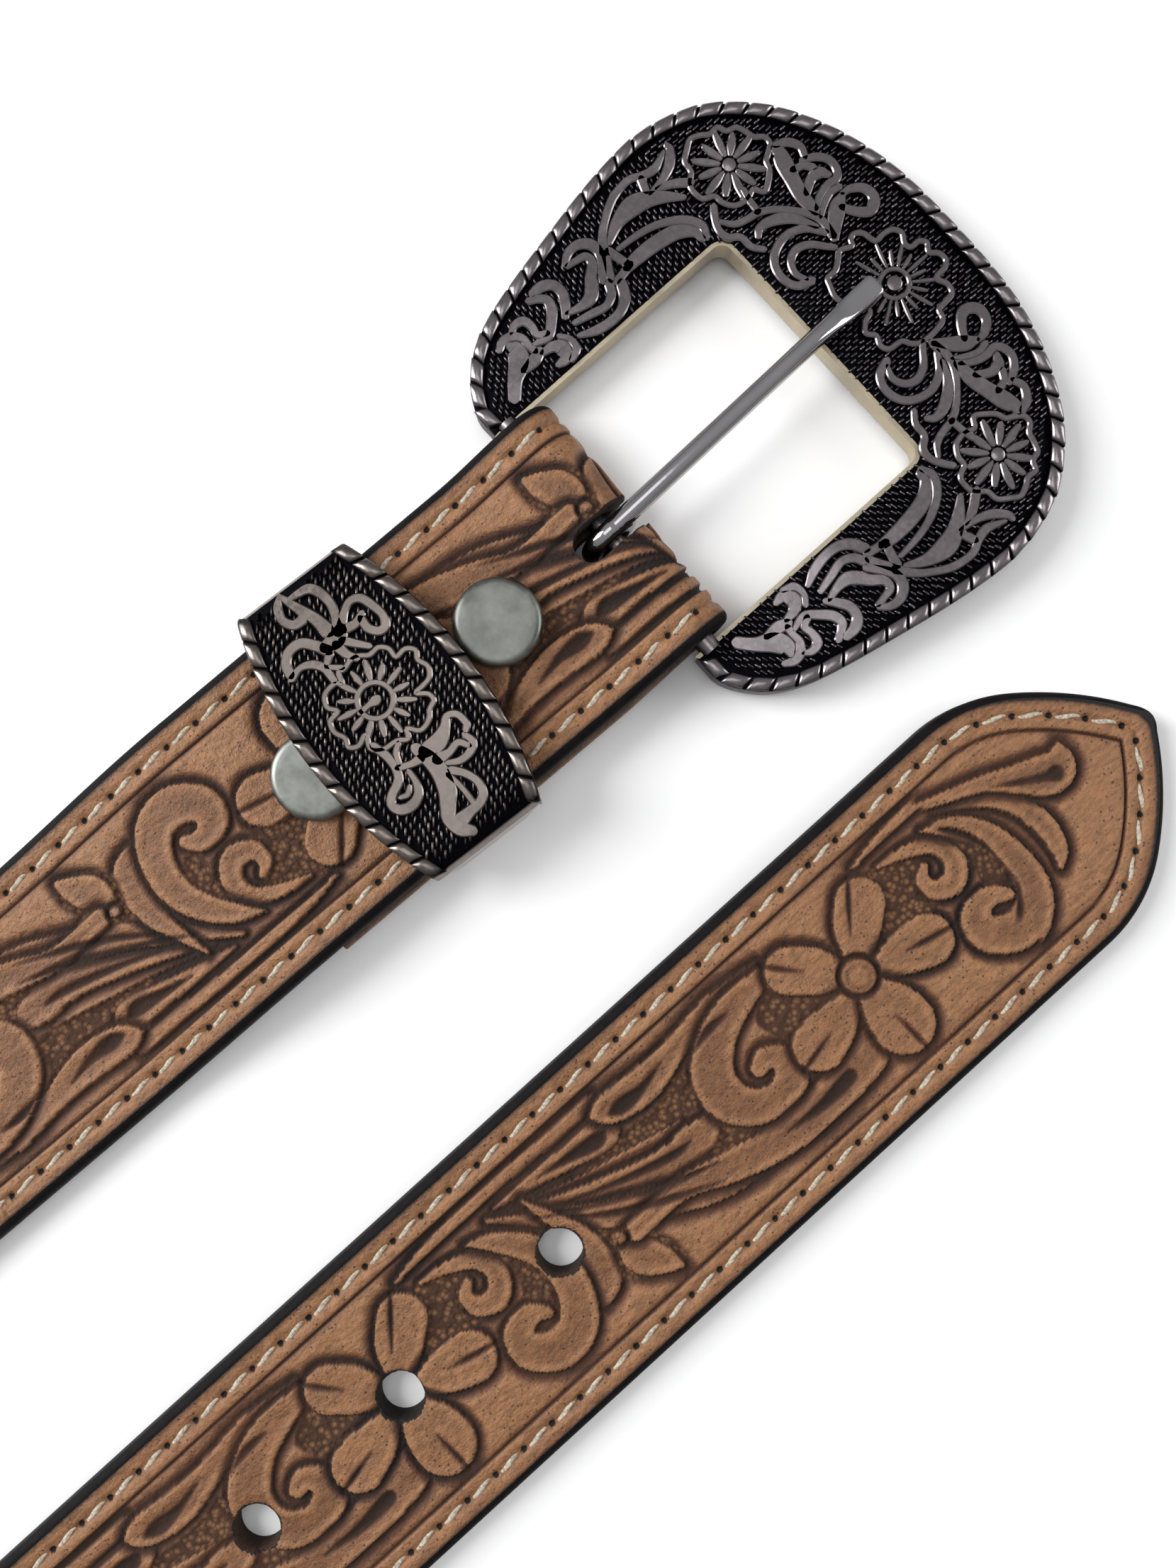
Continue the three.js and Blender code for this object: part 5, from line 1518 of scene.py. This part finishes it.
def buckle_body(edge, window):
    """The casting below its ornament: its plate, its foot, the window's pale lip and the bar."""
    body = Parts()
    plate = np.vstack([spaced(edge, 0.7), spaced(offset_line(window, 0.2), 0.9)])
    body.plate(plate[::-1], FOOT_HEIGHT, GROUND_HEIGHT, bevel=0.2, base_bevel=0.3)
    line = spaced(edge, 1.2)[3:-3]
    foot = np.vstack([offset_line(line, FOOT_INSET), offset_line(line, FOOT_INSET + FOOT_WIDTH)[::-1]])
    body.plate(foot[::-1], 0.0, FOOT_HEIGHT + 0.1, bevel=0.05, base_bevel=0.2)
    lip = np.vstack([window, offset_line(window, LIP_WIDTH)[::-1], window[:1]])
    body.plate(spaced(lip, 0.6)[:-1], FOOT_HEIGHT + 0.3, GROUND_HEIGHT + 0.02, slot=1, bevel=0.12)
    reach = WINDOW_HALF + BAR_SEAT
    body.loft([[(x, y, BAR_HEIGHT + z) for z, x in circle(0, 0, BAR_RADIUS, 24)] for y in (-reach, reach)])
    return body


def buckle_relief(scrolls, loops):
    """The scrolls and the three flowers."""
    relief = Parts()
    low = GROUND_HEIGHT - RELIEF_ROOT
    for rows in scrolls:
        relief.ribbon(rows, low, RELIEF_TOP, swell=0.12)
    for loop in loops:
        relief.ribbon(loop_rows(loop, 0.42), low, RELIEF_TOP, steps=4, closed=True)
    flower_bars(relief, CENTRE_FLOWER_MIDDLE, (2.5, 5.7, 4.4), 20, 0.3, low, RELIEF_TOP - 0.1)
    ring = circle(*CENTRE_FLOWER_MIDDLE, 2.0, 12)
    relief.ribbon(loop_rows(ring, 0.33), low, RELIEF_TOP, steps=3, closed=True)
    disc(relief, CENTRE_FLOWER_MIDDLE, 1.1, low, RELIEF_TOP)
    for middle in (SIDE_FLOWER_MIDDLE, *mirrored([SIDE_FLOWER_MIDDLE])):
        flower_bars(relief, middle, (1.5, 4.7, 4.1), 12, 0.55, low, RELIEF_TOP - 0.05, 0.2)
        disc(relief, middle, 1.0, low, RELIEF_TOP)
    return relief


def make_buckle(cast, pale):
    edge, window = buckle_edge(), window_edge()
    scrolls = [rows for scroll in BUCKLE_SCROLLS for rows in (scroll, mirrored(scroll))]
    loops = [CENTRE_FLOWER, SIDE_FLOWER, mirrored(SIDE_FLOWER)]
    buckle = buckle_body(edge, window).build("buckle_casting", [cast, pale])
    join_objects(buckle, [buckle_relief(scrolls, loops).build("relief", [cast])])
    ropes = rope_on("buckle_rope", edge, ROPE_TURNS, GROUND_HEIGHT + 0.4, cast)
    grid = staggered((-3, -38), (62, 38), *BUCKLE_HATCH_STEPS)
    keep = inside_outline(grid, np.vstack([edge, window]))
    keep[keep] &= line_gap(grid[keep], spaced(edge, 2.0)) > ROPE_WIDTH + 0.5
    keep[keep] &= line_gap(grid[keep], window) > 0.75
    keep[keep] &= clear_of(grid[keep], scroll_lines(scrolls, loops), 0.12)
    grid = grid[keep]
    turn = np.where(grid[:, 0] > WINDOW_REACH, 0.05, math.pi / 2 - 0.25 * np.sign(grid[:, 1]))
    hatch = hatch_on("buckle_hatch", grid, turn, GROUND_HEIGHT, BUCKLE_HATCH_LENGTH, cast, 7)
    join_objects(buckle, [ropes, hatch])
    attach(buckle, "buckle")
    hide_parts("buckle_frame")


# Prong

PRONG_WIRE_RADIUS = 1.35
PRONG_TURN = math.radians(1.3)
PRONG_RING_RADIUS = 3.15
WIRE_AT = BAR_HEIGHT + PRONG_RING_RADIUS
FLAT_AT = RELIEF_TOP + 0.9

# Sections of the prong: place along it, height, half width, half thickness and squareness
PRONG_STATIONS = [
    (-0.6, WIRE_AT, 1.2, 1.2, 2.0), (4.0, WIRE_AT, 1.34, 1.34, 2.0),
    (12.0, WIRE_AT + 0.02, 1.35, 1.35, 2.0), (28.0, WIRE_AT, 1.34, 1.34, 2.0),
    (36.0, WIRE_AT - 0.02, 1.33, 1.33, 2.0), (40.0, FLAT_AT + 0.55, 1.36, 1.12, 2.3),
    (43.0, FLAT_AT + 0.16, 1.5, 0.75, 2.8), (46.0, FLAT_AT + 0.02, 1.6, 0.62, 3.2),
    (48.1, FLAT_AT, 1.58, 0.58, 3.2), (48.65, FLAT_AT, 1.4, 0.5, 3.0), (48.8, FLAT_AT, 1.1, 0.36, 2.6),
]


def make_prong(chrome):
    parts = Parts()
    sides = 24
    angles = np.arange(sides) / sides * 2 * math.pi
    out = PRONG_RING_RADIUS + PRONG_WIRE_RADIUS * np.cos(angles)
    y = PRONG_WIRE_RADIUS * np.sin(angles)
    ring = [np.column_stack([out * math.cos(a), y, BAR_HEIGHT + out * math.sin(a)])
            for a in np.arange(40) / 40 * 2 * math.pi]
    parts.loft(ring[::-1], closed=True)
    waves = (np.cos(angles), np.sin(angles))
    rings = []
    for x, z, half, rise, power in spline_points(PRONG_STATIONS, 5):
        across, up = (np.sign(wave) * np.abs(wave) ** (2 / power) for wave in waves)
        rings.append(np.column_stack([np.full(sides, x), half * across, z + rise * up]))
    parts.loft(rings)
    c, s = math.cos(PRONG_TURN), math.sin(PRONG_TURN)

    def turned(points):
        points[:, :2] = points[:, :2] @ np.array([[c, s], [-s, c]])
        return points

    prong = parts.build("prong_wire", [chrome], 50, turned)
    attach(prong, "tongue")
    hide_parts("prong")


# Keeper: its plate's heights, and its ornament charted from the buckle's bar

KEEPER_INNER = 19.65
KEEPER_OUTER = 21.05
KEEPER_END = 16.6
KEEPER_MIDDLE = 24.4
KEEPER_BACK_LENGTH = 10.0
PLATE_BOTTOM = 10.4
PLATE_GROUND = 11.8
PLATE_TOP = 12.6
KEEPER_ROPE_TURNS = 12
HATCH_TURN = 0.84
HATCH_REACH = 19.5

# Rows of a wall: height, and how much its outer face is rounded in
KEEPER_WALL_ROWS = [
    (0.0, 0.35), (0.25, 0.1), (0.6, 0.0), (2.0, 0.0), (5.0, 0.0), (8.0, 0.0), (PLATE_BOTTOM + 0.1, 0.0),
]

# How the plate bends down over the strap's edges
PLATE_DROOP = 0.018
DROOP_START = 15.5
CORNER_RADIUS = 1.2

KEEPER_SCROLLS = [
    [(-37.5, 20.9, 0.2), (-38.6, 19.9, 0.45), (-39.2, 18.3, 0.5), (-38.6, 16.9, 0.55),
     (-37.3, 16.6, 0.6)],
    [(-37.5, 20.9, 0.2), (-37.1, 19.4, 0.45), (-36.6, 17.6, 0.6), (-36.0, 15.6, 0.7),
     (-35.8, 13.4, 0.9)],
    [(-36.9, 19.7, 0.25), (-35.4, 19.5, 0.4), (-34.0, 19.0, 0.55), (-33.3, 17.4, 0.55),
     (-33.3, 15.6, 0.5), (-34.0, 14.0, 0.5), (-34.8, 12.6, 0.9)],
    [(-43.0, 12.4, 0.6), (-42.5, 13.8, 0.55), (-41.2, 14.7, 0.55), (-39.4, 14.5, 0.6),
     (-38.2, 13.0, 0.65), (-37.4, 11.5, 0.7)],
    [(-43.2, 11.9, 0.45), (-41.6, 12.2, 0.35), (-40.2, 11.6, 0.5), (-39.3, 10.2, 0.5),
     (-39.4, 8.2, 0.42)],
    [(-37.4, 12.0, 0.8), (-35.8, 11.9, 1.2), (-34.6, 12.4, 0.9)],
    [(-36.2, 11.2, 0.7), (-36.0, 9.6, 0.5), (-35.4, 8.4, 0.4)],
    [(-38.9, 10.2, 0.3), (-37.6, 11.1, 0.5)],
    [(-38.8, 9.9, 0.3), (-37.6, 8.7, 0.35)],
    [(-34.0, 12.9, 0.6), (-32.6, 13.9, 0.42), (-31.2, 14.4, 0.42), (-30.0, 13.8, 0.5),
     (-29.5, 12.2, 0.5), (-29.3, 10.4, 0.45), (-29.9, 9.1, 0.5), (-31.0, 9.1, 0.5), (-31.8, 10.3, 0.5),
     (-31.7, 11.7, 0.5)],
    [(-34.2, 12.2, 0.6), (-32.6, 11.8, 0.5), (-31.2, 12.2, 0.4)],
    [(-35.2, 11.2, 0.55), (-34.2, 9.8, 0.45), (-33.2, 8.5, 0.35)],
    [(-41.2, -1.4, 0.5), (-40.8, -3.4, 0.5), (-41.0, -5.4, 0.45), (-41.8, -6.8, 0.5), (-43.4, -7.5, 0.5),
     (-44.4, -8.5, 0.5), (-43.9, -9.7, 0.6), (-42.4, -10.2, 0.6), (-40.9, -9.6, 0.5),
     (-40.2, -8.2, 0.35), (-40.0, -6.8, 0.3)],
    [(-42.9, -8.5, 0.25), (-42.0, -8.8, 0.3), (-41.2, -8.2, 0.2)],
    [(-40.7, -5.5, 0.4), (-39.2, -6.2, 0.4), (-37.8, -6.5, 0.6)],
    [(-40.3, -5.2, 0.3), (-39.7, -4.0, 0.3), (-38.7, -3.2, 0.3)],
    [(-37.4, -5.2, 0.7), (-37.0, -7.2, 1.0), (-37.1, -9.4, 1.1), (-37.9, -11.6, 1.1),
     (-39.2, -13.2, 0.9), (-40.2, -14.6, 0.8), (-39.9, -16.4, 0.9), (-39.0, -17.6, 0.6)],
    [(-39.4, -15.7, 1.0), (-37.6, -15.6, 0.65), (-36.0, -15.6, 0.55), (-34.9, -15.0, 0.5),
     (-34.4, -13.4, 0.45), (-34.9, -11.6, 0.45), (-35.9, -10.2, 0.5)],
    [(-36.6, -10.4, 0.35), (-36.4, -12.6, 0.3), (-36.6, -15.2, 0.3)],
    [(-36.8, -6.2, 0.9), (-34.8, -6.4, 1.1), (-33.0, -5.6, 0.6), (-31.8, -4.7, 0.4), (-30.7, -5.4, 0.4),
     (-30.6, -7.0, 0.4), (-31.2, -7.6, 0.35)],
    [(-36.2, -8.0, 0.8), (-34.6, -8.3, 0.45), (-33.0, -8.1, 0.4), (-32.2, -9.3, 0.35)],
    [(-35.6, -9.2, 0.3), (-34.2, -10.0, 0.42), (-32.4, -10.0, 0.42), (-31.5, -9.2, 0.42),
     (-31.7, -8.0, 0.35)],
]
KEEPER_FLOWER = [
    (-39.6, 7.8), (-41.4, 7.6), (-42.3, 6.2), (-41.6, 4.9), (-43.2, 4.6), (-43.7, 3.2), (-43.2, 1.8),
    (-43.6, 0.6), (-42.5, -0.1), (-40.9, 0.4), (-41.7, -1.3), (-40.5, -2.5), (-38.6, -2.8), (-37.3, -3.6),
    (-36.6, -2.5), (-35.5, -3.8), (-33.9, -3.6), (-32.8, -2.6), (-31.7, -2.1), (-31.7, -1.0),
    (-32.8, 0.1), (-31.4, 0.2), (-30.1, 0.5), (-29.4, 1.7), (-29.8, 3.1), (-29.2, 4.2), (-30.1, 5.2),
    (-31.6, 5.2), (-31.6, 6.6), (-32.5, 7.6), (-33.9, 7.6), (-35.1, 8.5), (-36.2, 8.7), (-37.4, 8.4),
    (-38.4, 8.5), (-38.9, 7.2),
]
KEEPER_FLOWER_MIDDLE = (-37.2, 2.8)
KEEPER_FLOWER_STEM = [
    (-39.6, 2.9, 0.5), (-38.2, 2.9, 0.45), (-37.3, 2.8, 0.75), (-37.0, 2.8, 0.7),
]


def keeper_frame():
    """Place, cosine and sine of the keeper on the strap."""
    x, y, _ = plan_at(KEEPER_PLACE)
    turn = KEEPER_TURN - BRANCH_SPLAY
    return float(x), float(y), math.cos(turn), math.sin(turn)


def keeper_place(points):
    """Moves points from the keeper's own frame to where it sits on the strap."""
    x, y, c, s = keeper_frame()
    points = np.asarray(points, dtype=float)
    moved = points.copy()
    moved[..., 0] = x + c * points[..., 0] - s * points[..., 1]
    moved[..., 1] = y + s * points[..., 0] + c * points[..., 1]
    return moved


def keeper_side():
    """The plate's bulging edge, clockwise along its right side, in the keeper's own frame."""
    rise = (KEEPER_MIDDLE - KEEPER_END) / 2
    radius = (KEEPER_OUTER ** 2 + rise ** 2) / (2 * rise)
    reach = math.asin(KEEPER_OUTER / radius)
    return np.array([(KEEPER_MIDDLE / 2 - radius + radius * math.cos(a), radius * math.sin(a))
                     for a in np.linspace(reach, -reach, 61)])


def keeper_bend(points):
    """Rounds the plate down over the strap's edges."""
    x, y, c, s = keeper_frame()
    away = np.abs(-(points[:, 0] - x) * s + (points[:, 1] - y) * c)
    drop = PLATE_DROOP * np.clip(away - DROOP_START, 0, None) ** 2
    corner = np.clip(away - (KEEPER_OUTER - CORNER_RADIUS), 0, CORNER_RADIUS)
    drop = drop + CORNER_RADIUS - np.sqrt(CORNER_RADIUS ** 2 - corner ** 2)
    points[:, 2] -= drop * np.clip((points[:, 2] - 9.0) / 2.0, 0, 1)
    return points


def keeper_body(side):
    """The plate, the two walls and the strip behind the strap."""
    parts = Parts()
    rows = []
    for v in np.linspace(-KEEPER_OUTER, KEEPER_OUTER, 61):
        half = float(np.interp(-v, -side[:, 1], side[:, 0]))
        soft = 0.2
        rows.append([(-half, v, PLATE_BOTTOM), (half, v, PLATE_BOTTOM), (half, v, PLATE_GROUND - soft),
                     (half - soft, v, PLATE_GROUND), (-half + soft, v, PLATE_GROUND),
                     (-half, v, PLATE_GROUND - soft)])
    parts.loft(keeper_place(rows))
    end = KEEPER_END / 2 - 0.3
    back = KEEPER_BACK_LENGTH / 2
    for sign in (-1, 1):
        rings = []
        for z, soft in KEEPER_WALL_ROWS:
            reach = back + (end - back) * z / PLATE_BOTTOM
            near, far = sorted((sign * KEEPER_INNER, sign * (KEEPER_OUTER - soft)))
            rings.append([(-reach, near, z), (reach, near, z), (reach, far, z), (-reach, far, z)])
        parts.loft(keeper_place(rings), slot=1)
    strip = []
    for v in np.linspace(-KEEPER_OUTER + 0.3, KEEPER_OUTER - 0.3, 9):
        strip.append([(-back, v, 0.15), (-back + 0.15, v, 0), (back - 0.15, v, 0), (back, v, 0.15),
                      (back, v, 0.85), (back - 0.15, v, 1.0), (-back + 0.15, v, 1.0), (-back, v, 0.85)])
    parts.loft(keeper_place(strip), slot=1)
    return parts


def make_keeper(silver, plain):
    side = keeper_side()
    parts = keeper_body(side)
    low = PLATE_GROUND - RELIEF_ROOT
    for rows in KEEPER_SCROLLS:
        parts.ribbon(rows, low, PLATE_TOP, swell=0.14)
    parts.ribbon(loop_rows(KEEPER_FLOWER, 0.4), low, PLATE_TOP, steps=4, closed=True)
    ring = circle(*KEEPER_FLOWER_MIDDLE, 2.3, 12)
    parts.ribbon(loop_rows(ring, 0.42), low, PLATE_TOP, steps=4, closed=True)
    parts.ribbon(KEEPER_FLOWER_STEM, low, PLATE_TOP)
    flower_bars(parts, KEEPER_FLOWER_MIDDLE, (2.6, 5.0, 4.5), 14, 0.46, low, PLATE_TOP - 0.05, 0.2)
    keeper = parts.build("keeper_casting", [silver, plain], 38, keeper_bend)
    lines = [keeper_place(side), keeper_place(-side)]
    finer = [rope_on(f"keeper_rope_{i}", line, KEEPER_ROPE_TURNS, PLATE_GROUND + 0.38, silver)
             for i, line in enumerate(lines)]
    u, v = staggered((-25, -25), (25, 25), *KEEPER_HATCH_STEPS).T
    c, s = math.cos(HATCH_TURN), math.sin(HATCH_TURN)
    grid = np.column_stack([u * c - v * s, u * s + v * c])
    grid = keeper_place(grid[np.abs(grid[:, 1]) < HATCH_REACH])
    outline = spaced(side, 0.8)
    keep = inside_outline(grid, keeper_place(np.vstack([outline, -outline])))
    for line in lines:
        keep[keep] &= line_gap(grid[keep], line) > ROPE_WIDTH + 0.3
    keep[keep] &= clear_of(grid[keep], scroll_lines(KEEPER_SCROLLS, [KEEPER_FLOWER]), 0.15)
    turn = np.full(keep.sum(), HATCH_TURN)
    finer.append(hatch_on("keeper_hatch", grid[keep], turn, PLATE_GROUND, KEEPER_HATCH_LENGTH, silver, 11))
    for piece in finer:
        bend_object(piece, keeper_bend)
    join_objects(keeper, finer)
    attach(keeper, "loop")
    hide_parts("keeper")


def bend_object(piece, bend):
    """Moves a mesh's corners by a rule that works in millimetres from the bar."""
    mesh = piece.data
    points = np.empty(len(mesh.vertices) * 3, dtype=np.float32)
    mesh.vertices.foreach_get("co", points)
    points = points.reshape(-1, 3) / MM - (BAR_X, BAR_Y, 0)
    points = (bend(points.astype(float)) + (BAR_X, BAR_Y, 0)) * MM
    mesh.vertices.foreach_set("co", points.astype(np.float32).ravel())
    mesh.update()


# Snap caps: shares of their radius and height from the rim to the crown

CAP_LIFT = 0.3
CAP_PROFILE = [
    (0.955, 0.0), (0.985, 0.1), (1.0, 0.28), (0.995, 0.5), (0.975, 0.7), (0.94, 0.86), (0.89, 0.95),
    (0.83, 0.985), (0.7, 0.985), (0.45, 0.995), (0.2, 1.0),
]


def make_caps(nickel):
    for i, run in enumerate(SNAP_PLACES):
        x, y, _ = plan_at(run)
        parts = Parts()
        parts.loft([[(*point, STACK_TOP + CAP_LIFT + CAP_HEIGHT * h)
                     for point in circle(float(x), float(y), CAP_RADIUS * r, 72)] for r, h in CAP_PROFILE])
        cap = parts.build(f"snap_cap_{i + 1}_finish", [nickel], 60)
        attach(cap, "strap")
        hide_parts(f"snap_cap_{i + 1}")


leather = tooled_leather()
back = rough_leather()
edge = edge_paint()
cast = aged_metal("black_nickel", GROUND_HEIGHT, RELIEF_TOP, "#0b0b0f", "#565256", "#8b8486", "#5b5759", 0.2)
silver = aged_metal("aged_silver", PLATE_GROUND, PLATE_TOP, "#0b0b0f", "#655f5c", "#7f7671", "#8f8680", 0.22)
pale = plain_metal("bare_nickel", "#c9bda6", 0.5, 0.25, 300.0)
bright = plain_metal("polished_silver", "#b3aaa5", 0.2, 0.2, 200.0)
nickel = plain_metal("grey_nickel", "#8a8c87", 0.42, 0.6, 330.0)
chrome = plain_metal("dark_chrome", "#b8b6b8", 0.08, 0.15, 120.0)
thread = waxed_thread()
make_camera()
make_studio()
make_floor()
make_strap(leather, back, edge)
make_stitches(thread, *near_frames())
make_buckle(cast, pale)
make_prong(chrome)
make_keeper(silver, bright)
make_caps(nickel)
for name in ("snap_post_1", "snap_post_2"):
    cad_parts[name].data.materials.clear()
    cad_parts[name].data.materials.append(nickel)
